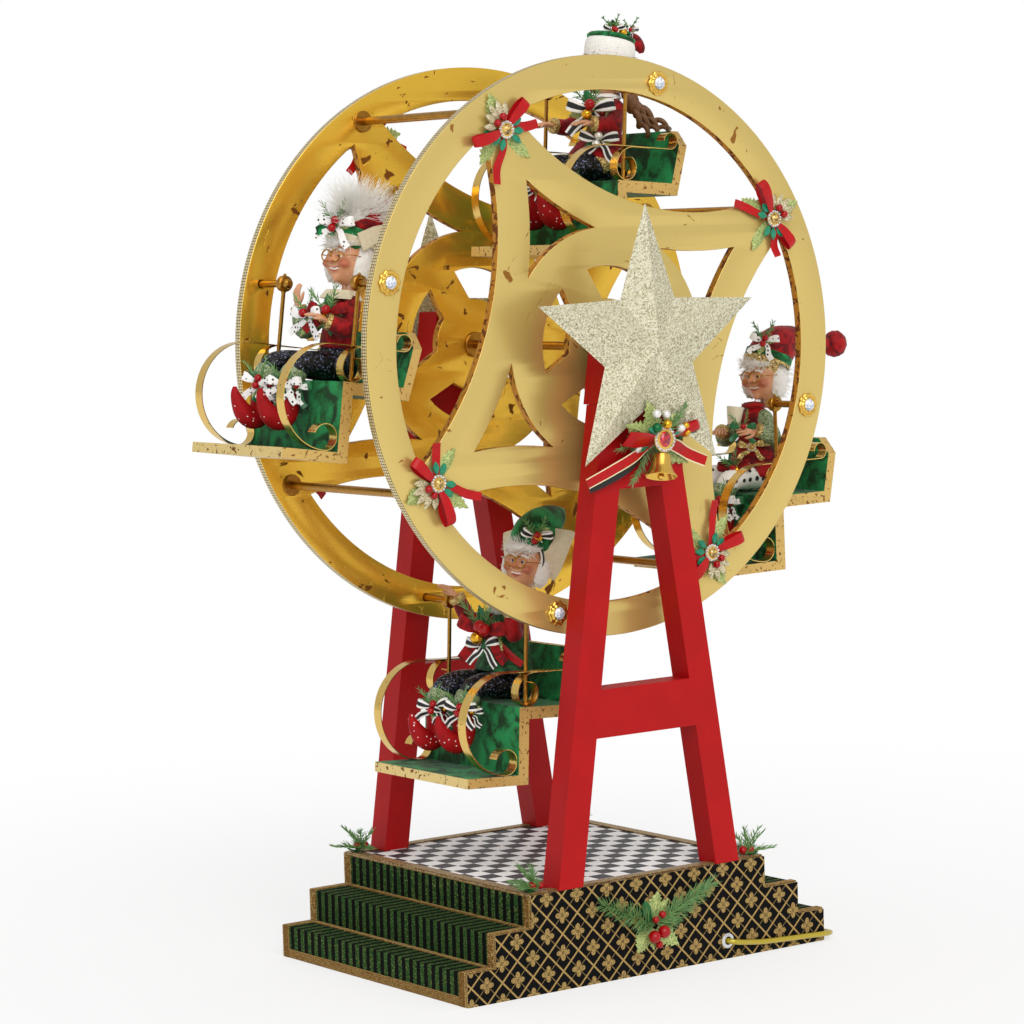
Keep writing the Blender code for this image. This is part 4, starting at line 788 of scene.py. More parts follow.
def mirrored(rows):
    """Profile rows followed by themselves in reverse on the other side of the middle."""
    return rows + [(radius, -level) for radius, level in reversed(rows)]


AXLE_PROFILE = [
    (0, -0.1157), (0.0033, -0.1157), (0.0033, -0.1277), (0.0042, -0.1277),
    *mirrored([
        (0.0042, -0.1188), (0.0078, -0.1188), (0.0078, -0.1148), (0.0042, -0.1148), (0.0042, -0.1052),
        (0.0122, -0.1052), (0.0129, -0.1046), (0.0129, -0.1028), (0.0122, -0.1022), (0.0042, -0.1022),
    ]),
    (0.0042, 0.1460), (0, 0.1460),
]
join_parts(
    "axle_rod", [along_y(AXLE_PROFILE, (0, 0, HUB[1]))], [brass], "wheel", slot="brass",
    replaces=["axle"]
)

# Pivot pins: turned brass with a rounded end beyond the hanger's eye, and outside the disc a scalloped gilt
# bezel that holds a cut clear stone
gilt, tree, shader = new_material("gilt metal", "e6bb58", 0.25, 0.95)
feed(shader, "Normal", bump(noise(place_of(tree)[0], 900.0), 0.25, 0.0004))


def facet_look(name, dark, pale, roughness=0.05, metallic=0.0):
    """Cut glass with painted reflections: each flat facet takes a shade picked at random from its true
    normal, from dark to pale, standing for the light the stone throws back and bends.
    """
    material, tree, shader = new_material(name, roughness=roughness, metallic=metallic)
    normal = add(tree, "ShaderNodeNewGeometry").outputs["True Normal"]
    coarse = add(
        tree, "ShaderNodeVectorMath", {0: normal, 1: (0.05, 0.05, 0.05)}, operation="SNAP"
    ).outputs[0]
    facet_glint = add(tree, "ShaderNodeTexWhiteNoise", {0: coarse}).outputs[0]
    # Painted reflection: each facet's brightness between dark and pale stands for the light it throws back.
    feed(shader, "Base Color", mix(ease(facet_glint, 0.1, 0.8), dark, pale))
    feed(shader, "Coat Weight", 0.8)
    return material


# The clear stone's facet shades are painted reflections.
clear_stone = facet_look("clear stone", "a8b6c8", "ffffff")
BEZEL_Y, BEZEL_LOBES, BEZEL_DEPTH, STONE_LIFT = 0.1150, 10, 0.055, 0.0025
HUB_ANGLES = {"left": 0.0, "bottom": 90.0, "right": 180.0, "top": 270.0}
PIVOTS = {name: HUB + polar(PIVOT_RADIUS, ARM_ANGLE + math.radians(a)) for name, a in HUB_ANGLES.items()}


def cut_stone(radius, height, skin, oval=1.0, sides=9):
    """A brilliant on the XY plane: a girdle, a turned ring half a step on, and a table, all flat facets."""
    points = []
    for share, level, shift in (
        (1.0, 0.0, 0.0), (1.0, 0.25, 0.0), (0.80, 0.68, 0.5), (0.50, 1.0, 0.0), (0.0, 1.0, 0.0)
    ):
        a = 2 * np.pi * (np.arange(sides) + shift) / sides
        ring = np.stack(
            [share * radius * oval * np.cos(a), share * radius * np.sin(a), np.full(sides, level * height)],
            1
        )
        points.append(ring)
    return grid(np.vstack([[points[0] * np.array((0, 0, 1.0))], points]), (False, True), skin)


def lobed(part, lobes, depth):
    """Scales a turned part's radius by 1 + depth cos(lobes a)."""
    points = part[0].copy()
    angle = np.arctan2(points[:, 1], points[:, 0])
    points[:, :2] *= (1 + depth * np.cos(lobes * angle))[:, None]
    return points, *part[1:]


PIN_PROFILE = [
    (0, 0.0542), (0.0030, 0.0544), (0.0046, 0.0560), (0.0050, 0.0576), (0.0050, 0.0602), (0.0035, 0.0602),
    (0.0035, 0.1148), (0, 0.1148),
]
BEZEL_PROFILE = [
    (0, 0.0), (0.0110, 0.0), (0.0117, 0.0006), (0.0115, 0.0016), (0.0104, 0.0022), (0.0088, 0.0018),
    (0.0078, 0.0026), (0.0070, 0.0036), (0.0062, 0.0034), (0.0060, 0.0020), (0, 0.0020),
]
for name, (px, pz) in PIVOTS.items():
    for label, side in (("near", -1), ("far", 1)):
        outward = Matrix.Translation((px, 0, pz)) @ Matrix.Rotation(-side * math.pi / 2, 4, "X")
        face = outward @ Matrix.Translation((0, 0, BEZEL_Y))
        parts = [
            moved(turned(PIN_PROFILE, 24, 0), outward),
            moved(lobed(turned(BEZEL_PROFILE, 100, 1), BEZEL_LOBES, BEZEL_DEPTH), face),
            moved(cut_stone(0.0062, 0.0040, 2), face @ Matrix.Translation((0, 0, STONE_LIFT))),
        ]
        node = f"{name}_{label}_pin"
        join_parts(
            node + "_set", parts, [brass, gilt, clear_stone], name + "_pins", slot="brass",
            replaces=[node], sharp=24
        )

# Bows over the ends of the tie rods: glitter holly, satin ribbon, glossy leaves, berries and a gilt leaf
# cluster round an amber stone in a ring of rhinestones. Wired together and glued on the disc.
TRIMS = {
    # The holly and leaf cluster glitter carry painted glints and shade in their flecks.
    "holly": glitter_look("holly leaf", "6c8a38", "d6dc92", 0.0009, 0.1, 0.55),
    "satin": cloudy(
        "red satin", "9a0308", "c6070c", 90.0, 3.0, 0.38, relief=(1500.0, 0.1, 0.0003), specular=0.3
    ),
    "teal": cloudy("teal leaf", "045a3c", "22a078", 260.0, roughness=0.2),
    "cluster": glitter_look("gilt leaf cluster", "8f8048", "f6eccb", 0.0012, 0.35, 0.35),
    "berry": cloudy("berry", "8e0208", "b4060e", 160.0, roughness=0.14, specular=0.35),
    # Rhinestone, amber and ruby facets carry painted reflections, the amber and ruby over their own colour.
    "rhinestone": facet_look("rhinestone", "7a7f86", "ffffff", 0.08),
    "amber": facet_look("amber stone", "6a4a10", "e6c060", 0.08, 0.2),
    "ruby": facet_look("ruby stone", "70040c", "e02030", 0.08, 0.1),
    "pine": cloudy("pine needle", "2c6236", "8cb468", 130.0),
    "emerald": cloudy("emerald leaf", "06401c", "1c8044", 220.0, roughness=0.4),
    "pearl": new_material("silver pearl", "e8e6e0", 0.16, 0.55)[0],
    "gold": new_material("gold ball", "e0a82c", 0.14, 0.9)[0],
    "green": new_material("green ball", "0c6434", 0.14, 0.5)[0],
    "gilt": gilt,
    "brass": brass,
    "cream": new_material("cream piping", "e6d8ae", 0.6)[0],
    "black": new_material("black backing", "14110f", 0.5)[0],
}
TRIM = {name: index for index, name in enumerate(TRIMS)}
HOLLY_EDGE = (
    0.12, 0.45, 0.30, 0.80, 0.50, 0.98, 0.62, 1.0, 0.62, 0.92, 0.52, 0.72, 0.38, 0.48, 0.20, 0.16, 0.02
)
LEAF_FOLD, TAIL_Y = 0.28, -0.003


def swung(part, degrees):
    """Turns a part that lies along +X to an angle in the XZ plane."""
    return moved(part, Matrix.Rotation(-math.radians(degrees), 4, "Y"))


def trimmed(name, parts, body, sharp=30, **words):
    """join_parts with the materials of TRIMS."""
    return join_parts(name, parts, list(TRIMS.values()), body, sharp=sharp, **words)


def spiny_leaf(length, width, skin, start=0.004, lift=0.003):
    """A holly leaf along +X that faces -Y, half as wide as HOLLY_EDGE says, lifting as the square of t."""
    t = np.linspace(0, 1, len(HOLLY_EDGE))
    path = np.stack([start + length * t, -0.001 - lift * t**2, 0 * t], 1)
    return tube(path, np.array(HOLLY_EDGE) * width / 2, 0.0004, (0, 0, 1), 8, TRIM[skin], LEAF_FOLD)


def bead_leaf(length, width, skin, start=0.0, level=-0.004, deep=0.0013):
    """A plump pointed leaf along +X, half width sin(pi t)^0.8."""
    t = np.linspace(0, 1, 9)
    swell = np.sin(np.pi * t)**0.8
    path = np.stack([start + length * t, np.full(9, level), 0 * t], 1)
    return tube(
        path, np.maximum(swell, 0.04) * width / 2, np.maximum(swell, 0.1) * deep, (0, 0, 1), 8,
        TRIM[skin]
    )


def ribbon_band(points, widths, skin="satin", thick=0.0003):
    """A flat ribbon through (along, depth, up) points, with half widths spread evenly along it."""
    path = smooth_path(points, 0.002)
    half = np.interp(np.linspace(0, 1, len(path)), np.linspace(0, 1, len(widths)), widths)
    return tube(path, half, thick, (0, 0, 1), 8, TRIM[skin])


def ribbon_loop(length, width, skin="satin", lift=0.009):
    """A loop of ribbon that runs out along +X, folds over and comes back above itself."""
    points = [
        (0.003, -0.0025, 0), (0.45 * length, -0.0020, 0.0008), (0.85 * length, -0.0030, 0),
        (length, -0.002 - lift / 2, -0.0006), (0.86 * length, -0.002 - lift, 0),
        (0.45 * length, -0.0015 - 0.9 * lift, 0.0006), (0.004, -0.0055, 0),
    ]
    half = width / 2
    return ribbon_band(
        points, (0.3 * half, 0.75 * half, half, 0.9 * half, half, 0.8 * half, 0.35 * half), skin
    )


def ribbon_tail(length, width, skin="satin", wave=0.002):
    """A loose, waving end of ribbon along +X."""
    points = [
        (0.003, TAIL_Y, 0), (0.35 * length, TAIL_Y - wave, 0.001),
        (0.7 * length, TAIL_Y + wave * 0.4, -0.001), (length, TAIL_Y - wave, 0),
    ]
    return ribbon_band(points, (0.35 * width, 0.42 * width, 0.5 * width, 0.46 * width), skin)


def rosette(radius, stones, jewel, oval=1.0, level=-0.006):
    """A cut jewel in a ring of small stones on a gilt cup, facing -Y."""
    facing = Matrix.Translation((0, level, 0)) @ Matrix.Rotation(math.pi / 2, 4, "X")
    cup = [(0, 0), (radius * 0.95, 0), (radius, 0.0012), (radius * 0.7, 0.0020), (0, 0.0020)]
    centre_stone = cut_stone(radius * 0.62, 0.0036, TRIM[jewel], oval)
    ring = radius * 0.86
    size = math.pi * ring / stones
    places = []
    for angle in np.arange(stones) * 2 * math.pi / stones:
        at = Matrix.Translation((ring * math.cos(angle), ring * math.sin(angle), 0.0010))
        places.append(facing @ at @ Matrix.Rotation(angle, 4, "Z"))
    return [
        moved(turned(cup, 32, TRIM["gilt"]), facing),
        moved(centre_stone, facing @ Matrix.Translation((0, 0, 0.0012))),
        scatter(cut_stone(size, size * 1.3, TRIM["rhinestone"], 1.0, 6), places),
    ]


def berry(x, z, radius, level, skin="berry"):
    """A round berry or bead, level metres ahead of the face."""
    return ball((x, level, z), radius, 14, 10, TRIM[skin])


def bow_parts():
    """One bow facing -Y with the rim of the wheel towards +Z."""
    swing = random.uniform(-7, 7, 12)
    parts = [
        swung(spiny_leaf(0.034, 0.024, "holly"), 92 + swing[0]),
        swung(spiny_leaf(0.040, 0.022, "holly", lift=0.002), 205 + swing[1]),
        swung(spiny_leaf(0.036, 0.022, "holly", lift=0.001), 292 + swing[2]),
        swung(ribbon_tail(0.038, 0.0095), -24 + swing[3]),
        swung(ribbon_tail(0.052, 0.0088), 228 + swing[4]),
        swung(ribbon_loop(0.036, 0.0110), 16 + swing[5]),
        swung(ribbon_loop(0.041, 0.0110, lift=0.011), 172 + swing[6]),
        *rosette(0.0085, 15, "amber", level=-0.0055),
        berry(-0.0062, 0.0105, 0.0036, -0.0080), berry(0.0022, 0.0125, 0.0038, -0.0080),
    ]
    for angle, length in ((62, 0.016), (82, 0.019), (101, 0.019), (121, 0.017), (146, 0.014)):
        parts.append(swung(bead_leaf(length, 0.0072, "cluster", 0.0105, -0.0052), angle + swing[7]))
    for angle in (4, -30, -62, 196, 228):
        parts.append(swung(bead_leaf(0.0125, 0.0072, "teal", 0.0085, -0.0058, 0.0018), angle + swing[8]))
    parts.append(swung(bead_leaf(0.018, 0.006, "emerald", 0.006, -0.0022), 150 + swing[9]))
    return parts


def facing_place(x, y, z, side, outward):
    """A frame on a vertical face that looks along side times Y, with its +Z at an angle in the XZ plane."""
    place = Matrix.Translation((x, y, z))
    if side > 0:
        place = place @ Matrix.Rotation(math.pi, 4, "Z")
        outward = math.pi - outward
    return place @ Matrix.Rotation(math.pi / 2 - outward, 4, "Y")


ROD_RING, BOW_RING, BOW_Y = 0.260, 0.240, 0.1147
ROD_PROFILE = mirrored([
    (0, -0.1150), (0.0040, -0.1150), (0.0040, -0.1052), (0.0100, -0.1052), (0.0105, -0.1047),
    (0.0105, -0.1037), (0.0100, -0.1032), (0.0040, -0.1032),
])
for k in range(4):
    diagonal = ARM_ANGLE + (k + 0.5) * math.pi / 2
    rod_at = HUB + polar(ROD_RING, diagonal)
    bow_at = HUB + polar(BOW_RING, diagonal)
    parts = [along_y(ROD_PROFILE, (rod_at[0], 0, rod_at[1]), 28, TRIM["brass"])]
    for side in (-1, 1):
        place = facing_place(bow_at[0], side * BOW_Y, bow_at[1], side, diagonal)
        parts += [moved(part, place) for part in bow_parts()]
    trimmed(
        f"tie_rod_with_bows_{k + 1}", parts, "wheel", slot="foliage",
        replaces=[f"stretcher_with_bows_{k + 1}"]
    )

# Star sprays: a ruby rosette over a gilt bell, with velvet ribbon, holly, pine, pearls and balls, wired to
# the head of the frame below each star
def pine_frond(length, count, needle, start=0.004, low=30, high=62):
    """A stem along +X with needles at low to high degrees from it, all on the -Y side."""
    stem = smooth_path(
        [(start, -0.002, 0), (start + length * 0.5, -0.0045, 0), (start + length, -0.0055, 0)], 0.004
    )
    parts = [tube(stem, 0.0006, None, (0, 0, 1), 5, TRIM["pine"])]
    line = np.array([(0, 0, 0), (0.55, 0, 0), (1.0, 0, 0.0)]) * needle
    blade = tube(line, (0.00055, 0.0005, 0.00012), None, (0, 0, 1), 4, TRIM["pine"])
    places = []
    for i in range(count):
        share = (i + random.uniform(0, 1)) / count
        lean = math.radians(random.uniform(low, high)) * (1 - 0.55 * share**3)
        around = random.uniform(-0.15, 1.15) * math.pi
        ahead = -abs(math.sin(lean) * math.sin(around)) * 0.7 - 0.02
        aim = Vector((math.cos(lean), ahead, math.sin(lean) * math.cos(around)))
        at = stem[min(len(stem) - 1, int(share * len(stem)))]
        turn = Vector((1, 0, 0)).rotation_difference(aim).to_matrix().to_4x4()
        size = random.uniform(0.75, 1.1) * (1 - 0.35 * share)
        places.append(Matrix.Translation(at) @ turn @ Matrix.Scale(size, 4))
    parts.append(scatter(blade, places))
    return parts


BELL_PROFILE = [
    (0.0, 0.0), (0.0045, -0.0004), (0.0072, -0.0022), (0.0080, -0.0055), (0.0086, -0.0110),
    (0.0106, -0.0160), (0.0134, -0.0195), (0.0138, -0.0204), (0.0132, -0.0208), (0.0100, -0.0165),
    (0.0078, -0.0110), (0.0068, -0.0040), (0.0, -0.0020),
]
STAR_AHEAD, SPRAY_Y = 0.019, 0.1603
STAR_SPRAY = {
    "holly": (
        (118, 0.040, 0.024), (160, 0.046, 0.024), (222, 0.032, 0.020), (330, 0.046, 0.024),
        (60, 0.026, 0.018)
    ),
    "emerald": ((172, 0.040, 0.020), (8, 0.038, 0.018), (352, 0.030, 0.014)),
}
LEFT_RIBBON = [(0.004, -0.006, 0), (0.030, -0.010, 0.001), (0.060, -0.012, -0.002), (0.090, -0.008, -0.004)]
RIGHT_RIBBON = [
    (0.004, -0.006, 0), (0.022, -0.010, 0.001), (0.044, -0.009, -0.001), (0.064, -0.012, -0.002)
]
BACK_RIBBON = [
    (0.010, -0.0045, 0.003), (0.040, -0.0075, 0.006), (0.070, -0.0065, 0.004), (0.088, -0.004, 0.002)
]
STAR_PEARLS = (
    (-0.013, 0.026, 0.0046, "pearl"), (-0.001, 0.025, 0.0042, "pearl"), (0.000, 0.0155, 0.0046, "gold"),
    (-0.013, 0.0125, 0.0052, "green"), (0.0170, 0.0105, 0.0042, "pearl"), (-0.0275, 0.0025, 0.0042, "gold"),
    (-0.0225, -0.0080, 0.0038, "pearl"), (0.0265, 0.0050, 0.0036, "gold"), (0.0230, 0.0130, 0.0034, "gold"),
)
for name, side in (("near_star_spray", -1), ("far_star_spray", 1)):
    parts = []
    for skin, leaves in STAR_SPRAY.items():
        for angle, length, width in leaves:
            parts.append(swung(spiny_leaf(length, width, skin, lift=0.004), angle))
    for angle, length, count in (
        (52, 0.034, 70), (188, 0.040, 60), (236, 0.042, 80), (292, 0.030, 60), (338, 0.034, 50)
    ):
        parts += [swung(part, angle) for part in pine_frond(length, count, 0.0125)]
    for skin, thick, grow in (("cream", 0.0002, 0.88), ("satin", 0.0005, 0.76)):
        left_widths = (0.0045 * grow, 0.0062 * grow, 0.0062 * grow, 0.0058 * grow)
        right_widths = (0.005 * grow, 0.0065 * grow, 0.0070 * grow, 0.0066 * grow)
        parts.append(swung(ribbon_band(LEFT_RIBBON, left_widths, skin, thick), 207))
        parts.append(swung(ribbon_band(RIGHT_RIBBON, right_widths, skin, thick), -20))
    parts.append(swung(ribbon_band(BACK_RIBBON, (0.004, 0.006, 0.006, 0.005), "black"), 207))
    parts += [
        swung(ribbon_loop(0.044, 0.0150, lift=0.012), 176),
        swung(ribbon_loop(0.043, 0.0100, lift=0.008), 19),
        moved(
            turned([(0, 0), (0.005, 0), (0.006, 0.011), (0, 0.011)], 16, TRIM["gilt"]),
            Matrix.Rotation(math.pi / 2, 4, "X")
        ),
    ]
    for x, z, radius, skin in STAR_PEARLS:
        parts.append(berry(x, z, radius, -0.0075 - radius * 0.4, skin))
    for angle in (-12, 24, 205, 150):
        parts.append(swung(bead_leaf(0.014, 0.0068, "teal", 0.0120, -0.0085, 0.0018), angle))
    for index, (points, *rest) in enumerate(parts):
        ahead = np.clip((points[:, 2] + 0.012) / 0.024, 0, 1)
        points = points - (STAR_AHEAD * ahead**2 * (3 - 2 * ahead))[:, None] * np.array((0, 1.0, 0))
        parts[index] = (points, *rest)
    jewel = rosette(0.0126, 20, "ruby", 0.92, -0.0225)
    parts += [moved(part, Matrix.Translation((0, 0, 0.001))) for part in jewel]
    hung = Matrix.Translation((0.0010, -0.0170, -0.0120)) @ Matrix.Scale(1.15, 4)
    tilt = hung @ Matrix.Rotation(math.radians(14), 4, "Y") @ Matrix.Rotation(math.radians(-12), 4, "X")
    parts.append(moved(turned(BELL_PROFILE, 40, TRIM["gilt"]), tilt))
    parts.append(moved(ball((0, 0, -0.0205), 0.0030, 12, 8, TRIM["gilt"]), tilt))
    place = facing_place(-side * 0.012, side * SPRAY_Y, 0.517, side, math.pi / 2)
    trimmed(
        name + "_made", [moved(part, place) for part in parts], "stand", slot="foliage", replaces=[name]
    )

# Base spray: holly, two pine fronds and red berries, glued low on the near side cover
parts = []
for angle in (156, 26):
    parts += [swung(part, angle) for part in pine_frond(0.070, 200, 0.0200, 0.002, 40, 68)]
BASE_LEAVES = (
    (88, 0.030, 0.024), (222, 0.031, 0.026), (318, 0.030, 0.024), (62, 0.024, 0.018),
    (255, 0.020, 0.016)
)
for angle, length, width in BASE_LEAVES:
    parts.append(swung(spiny_leaf(length, width, "holly", lift=0.005), angle))
parts.append(swung(spiny_leaf(0.026, 0.018, "emerald", lift=0.003), 120))
BASE_BERRIES = (
    (-0.0078, -0.0095, 0.0062), (0.0042, -0.0060, 0.0062), (-0.0040, 0.0065, 0.0036),
    (0.0045, 0.0105, 0.0036), (0.0000, -0.0185, 0.0036),
)
for x, z, radius in BASE_BERRIES:
    ahead = -0.0035 - radius
    parts.append(berry(x, z, radius, ahead))
    parts.append(tube(np.array([(x, -0.002, z), (x, ahead, z)]), 0.0008, None, (1, 0, 0), 6, TRIM["brass"]))
place = facing_place(0.003, -SPRAY_Y, 0.047, -1, math.pi / 2)
parts = [moved(part, place) for part in parts]
trimmed("base_spray_made", parts, "stand", slot="foliage", replaces=["base_holly_spray"])

# Corner sprigs: pine with two red berries, glued on the platform's border at each corner
sprigs = []
FLAT_UP, RAISED = Matrix.Rotation(-math.pi / 2, 4, "X"), Matrix.Rotation(math.radians(-42), 4, "Z")
for sign_x, sign_y in ((-1, -1), (-1, 1), (1, -1), (1, 1)):
    inward = math.degrees(math.atan2(-sign_y, -sign_x))
    turn = sign_x * sign_y
    place = Matrix.Translation((sign_x * 0.130, sign_y * 0.149, PLATFORM_TOP + 0.0016)) @ FLAT_UP
    parts = []
    for angle, length, count in ((60, 0.028, 60), (105, 0.018, 36), (155, 0.026, 50)):
        frond = pine_frond(length, count, 0.0115, 0.0, 35, 70)
        parts += [swung(part, inward + turn * angle) for part in frond]
    for angle, length, count in ((30, 0.024, 40), (80, 0.026, 50), (128, 0.028, 50), (178, 0.026, 45)):
        frond = [moved(part, RAISED) for part in pine_frond(length, count, 0.0105, 0.0, 30, 66)]
        parts += [swung(part, inward + turn * angle) for part in frond]
    for angle in (85, 130):
        parts.append(swung(spiny_leaf(0.016, 0.011, "emerald", 0.002, 0.004), inward + turn * angle))
    parts.append(berry(-0.0035, 0.001, 0.0042, -0.0052))
    parts.append(berry(0.0045, -0.001, 0.0040, -0.0050))
    parts.append(berry(0.0005, 0.006, 0.0026, -0.0060))
    sprigs += [moved(part, place) for part in parts]
trimmed("corner_sprigs", sprigs, "stand", slot="foliage")

# Benches: bent board under crushed green velvet, with cracked gold leaf on the front edge and on the top of
# the back, and gold flakes on the sawn side edges. Each hangs from its two eyes.
TILTS = {"left": 8.0, "bottom": 3.0, "right": -1.0, "top": 4.0}
BENCH = {}
for name, tilt in TILTS.items():
    pivot = Matrix.Translation((PIVOTS[name][0], 0, PIVOTS[name][1]))
    BENCH[name] = pivot @ Matrix.Rotation(math.radians(tilt), 4, "Y")


def velvet_look(name, deep, bright, scale=34.0, sheen=0.12):
    """Crushed velvet: nap that lies in patches, darker and brighter, over a fine pile."""
    material, tree, shader = new_material(name, roughness=0.62)
    vector, _ = place_of(tree)
    crush = noise(vector, scale, 4.0, 1.6)
    nap = calc("MULTIPLY_ADD", noise(vector, scale * 14), 0.25, crush)
    feed(shader, "Base Color", mix(ease(nap, 0.48, 0.78), deep, bright))
    feed(shader, "Normal", bump(nap, 0.5, 0.0012))
    feed(shader, "Sheen Weight", sheen)
    feed(shader, "Specular IOR Level", 0.2)
    return material


green_velvet = velvet_look("green velvet", "04380f", "1d9450")
front_leaf = leaf_look("bench front leaf", "e4c983", "7d5426", 0.20, 0.42, 0.5, 0.4, 4.0)
edge_flake = leaf_look("bench edge flake", "d8b468", "8a602e", 0.20, 0.45, 0.6, 0.4, 5.0)
for name, place in BENCH.items():
    data = dress(name + "_bench", green_velvet, edge_flake, front_leaf)
    back = place.to_3x3().transposed()
    for polygon in data.polygons:
        normal = back @ polygon.normal
        centre = place.inverted() @ polygon.center
        if abs(normal.y) > 0.6:
            polygon.material_index = 1
        else:
            front = normal.x < -0.6 and centre.x < -0.07
            top_of_back = normal.z > 0.6 and centre.z > -0.045
            under_foot = normal.z < -0.6 and centre.z < -0.15
            polygon.material_index = 2 if front or top_of_back or under_foot else 0
    rounded(name + "_bench", 0.0008)

# Hangers: a turned eye on each pivot pin, a rod down to the seat, and flat gilt strips bent into scrolls and
# welded to the rod: foot curl, big hoop, arm rail and back curl in one, and the curl on the seat
strip_gold = leaf_look("hanger strip gold", "e0bc68", "7a5a2c", 0.12, 0.2, 0.95, 0.3, 5.0)
STRIP_Y, STRIP_HALF, STRIP_THICKNESS = 0.0719, 0.006, 0.0008
EYE_Y, KNOB_LEVEL, KNOB_RADIUS = 0.0645, 0.0084, 0.0016
HOOP, FOOT_CURL, BACK_CURL, SEAT_CURL, SWEEP = 0.0495, 0.0124, 0.008, 0.012, 0.020
SEAT_TOP, FOOT_TOP, STRIP_GAP = -0.0932, -0.1591, 0.0007
SEAT_THICKNESS, RISER_FRONT, RISER_GAP = 0.0118, 0.0176, 0.0010
BACK_FOOT, BACK_LEAN, BACK_THICKNESS = 0.0572, math.radians(11.4), 0.0097
SWEEP_X, SWEEP_TAIL_X, RAIL_DROP = 0.002, 0.022, 0.0005
FOOT_LEVEL, SEAT_LEVEL = FOOT_TOP + STRIP_GAP, SEAT_TOP + STRIP_GAP
RAIL = FOOT_LEVEL + 2 * HOOP


def bent_strip(*arcs):
    """Points (x, 0, z) along arcs given as (radius, start, end, centre) in degrees, every 4 degrees or so."""
    rows = []
    for radius, start, end, centre in arcs:
        count = max(2, int(abs(end - start) / 4))
        rows.append(polar(radius, np.radians(np.linspace(start, end, count + 1)), centre))
    flat = np.vstack(rows)
    keep = np.concatenate([[True], np.linalg.norm(np.diff(flat, axis=0), axis=1) > 1e-5])
    flat = flat[keep]
    return np.stack([flat[:, 0], 0 * flat[:, 0], flat[:, 1]], 1)


hoop_x = -RISER_FRONT - RISER_GAP - FOOT_CURL
back_face = BACK_FOOT + math.tan(BACK_LEAN) * (RAIL - SEAT_TOP + SEAT_THICKNESS) - BACK_THICKNESS
curl_x = back_face - STRIP_GAP - BACK_CURL
arm_strip = bent_strip(
    (FOOT_CURL, 165, -90, (hoop_x, FOOT_LEVEL + FOOT_CURL)),
    (HOOP, -90, -270, (hoop_x, FOOT_LEVEL + HOOP)),
    (BACK_CURL, -90, 180, (curl_x, RAIL + BACK_CURL)),
)
seat_strip = bent_strip(
    (0.0001, 90, 91, (SWEEP_TAIL_X, RAIL - RAIL_DROP)),
    (SWEEP, 90, 180, (SWEEP_X, RAIL - RAIL_DROP - SWEEP)),
    (SEAT_CURL, 180, 420, (SWEEP_X - SWEEP + SEAT_CURL, SEAT_LEVEL + SEAT_CURL)),
)
EYE_RING = [
    (0.0039, -0.0040), (0.0062, -0.0040), (0.0077, -0.0030), (0.0080, 0.0), (0.0077, 0.0030),
    (0.0062, 0.0040), (0.0039, 0.0040), (0.0039, -0.0040)
]
ROD = [
    (0, -0.0928), (0.0042, -0.0928), (0.0044, -0.0920), (0.0040, -0.0912), (0.0020, -0.0906),
    (0.0020, -0.0090), (0.0028, -0.0076), (0.0028, -0.0066), (0, -0.0066)
]
for name, place in BENCH.items():
    for label, side in (("near", -1), ("far", 1)):
        parts = [
            tube(arm_strip, STRIP_HALF, STRIP_THICKNESS / 2, (0, 1, 0), 4, 1, square=True),
            tube(seat_strip, STRIP_HALF * 0.96, STRIP_THICKNESS / 2, (0, 1, 0), 4, 1, square=True),
        ]
        parts = [moved(part, Matrix.Translation((0, side * STRIP_Y, 0))) for part in parts]
        parts.append(along_y(EYE_RING, (0, side * EYE_Y, 0), 36))
        parts.append(moved(turned(ROD, 20), Matrix.Translation((0, side * EYE_Y, 0))))
        parts.append(ball((0, side * EYE_Y, KNOB_LEVEL), KNOB_RADIUS, 12, 8))
        parts = [moved(part, place) for part in parts]
        node = f"{name}_{label}_hanger"
        body = name + "_gondola"
        join_parts(
            node + "_scrolls", parts, [brass, strip_gold], body, slot="brass", replaces=[node], sharp=35
        )

# Elf figures: cloth bodies with stuffed velvet and sequin clothes, sewn boots, and painted resin heads and
# hands. Each sits loose on its own bench. Shapes are in millimetres from the bench's pivot until placed.
FACE_ROWS, FACE_COLUMNS = 80, 112
MOUTH_LEVEL, MOUTH_RISE = -28.0, 0.014
CHEEK = (33.0, -11.0)
HEAD_HALF = (20.5, 20.0, 23.0)
EYE_AZ, EYE_EL, EYE_RADIUS, EYE_SIDES = 19.0, 9.0, 3.9, 20
LENS_X, LENS_HALF = -24.5, 5.9
NECK = (27, 0, 0)
ROOT_DEPTH, FINGER_CURL = 0.9, 0.6
SHOULDER = (27, 15, -17)
FOOT_Y = 17

skin_look, tree, shader = new_material("painted skin", roughness=0.42)
feed(shader, "Coat Weight", 0.25)
uv = add(tree, "ShaderNodeSeparateXYZ", {0: add(tree, "ShaderNodeTexCoord").outputs["UV"]}).outputs
rise = calc("MULTIPLY", calc("SUBTRACT", uv[0], 0.5), 180.0)
round_face = calc("MULTIPLY", calc("SUBTRACT", uv[1], 0.5), 360.0)
aside = calc("ABSOLUTE", round_face)


def spot(a, b, at, size):
    """1 at the place at of two coordinates, fading to 0 at size from it."""
    da = calc("DIVIDE", calc("SUBTRACT", a, at[0]), size[0])
    db = calc("DIVIDE", calc("SUBTRACT", b, at[1]), size[1])
    return ease(calc("ADD", calc("MULTIPLY", da, da), calc("MULTIPLY", db, db)), 1.0, 0.0)


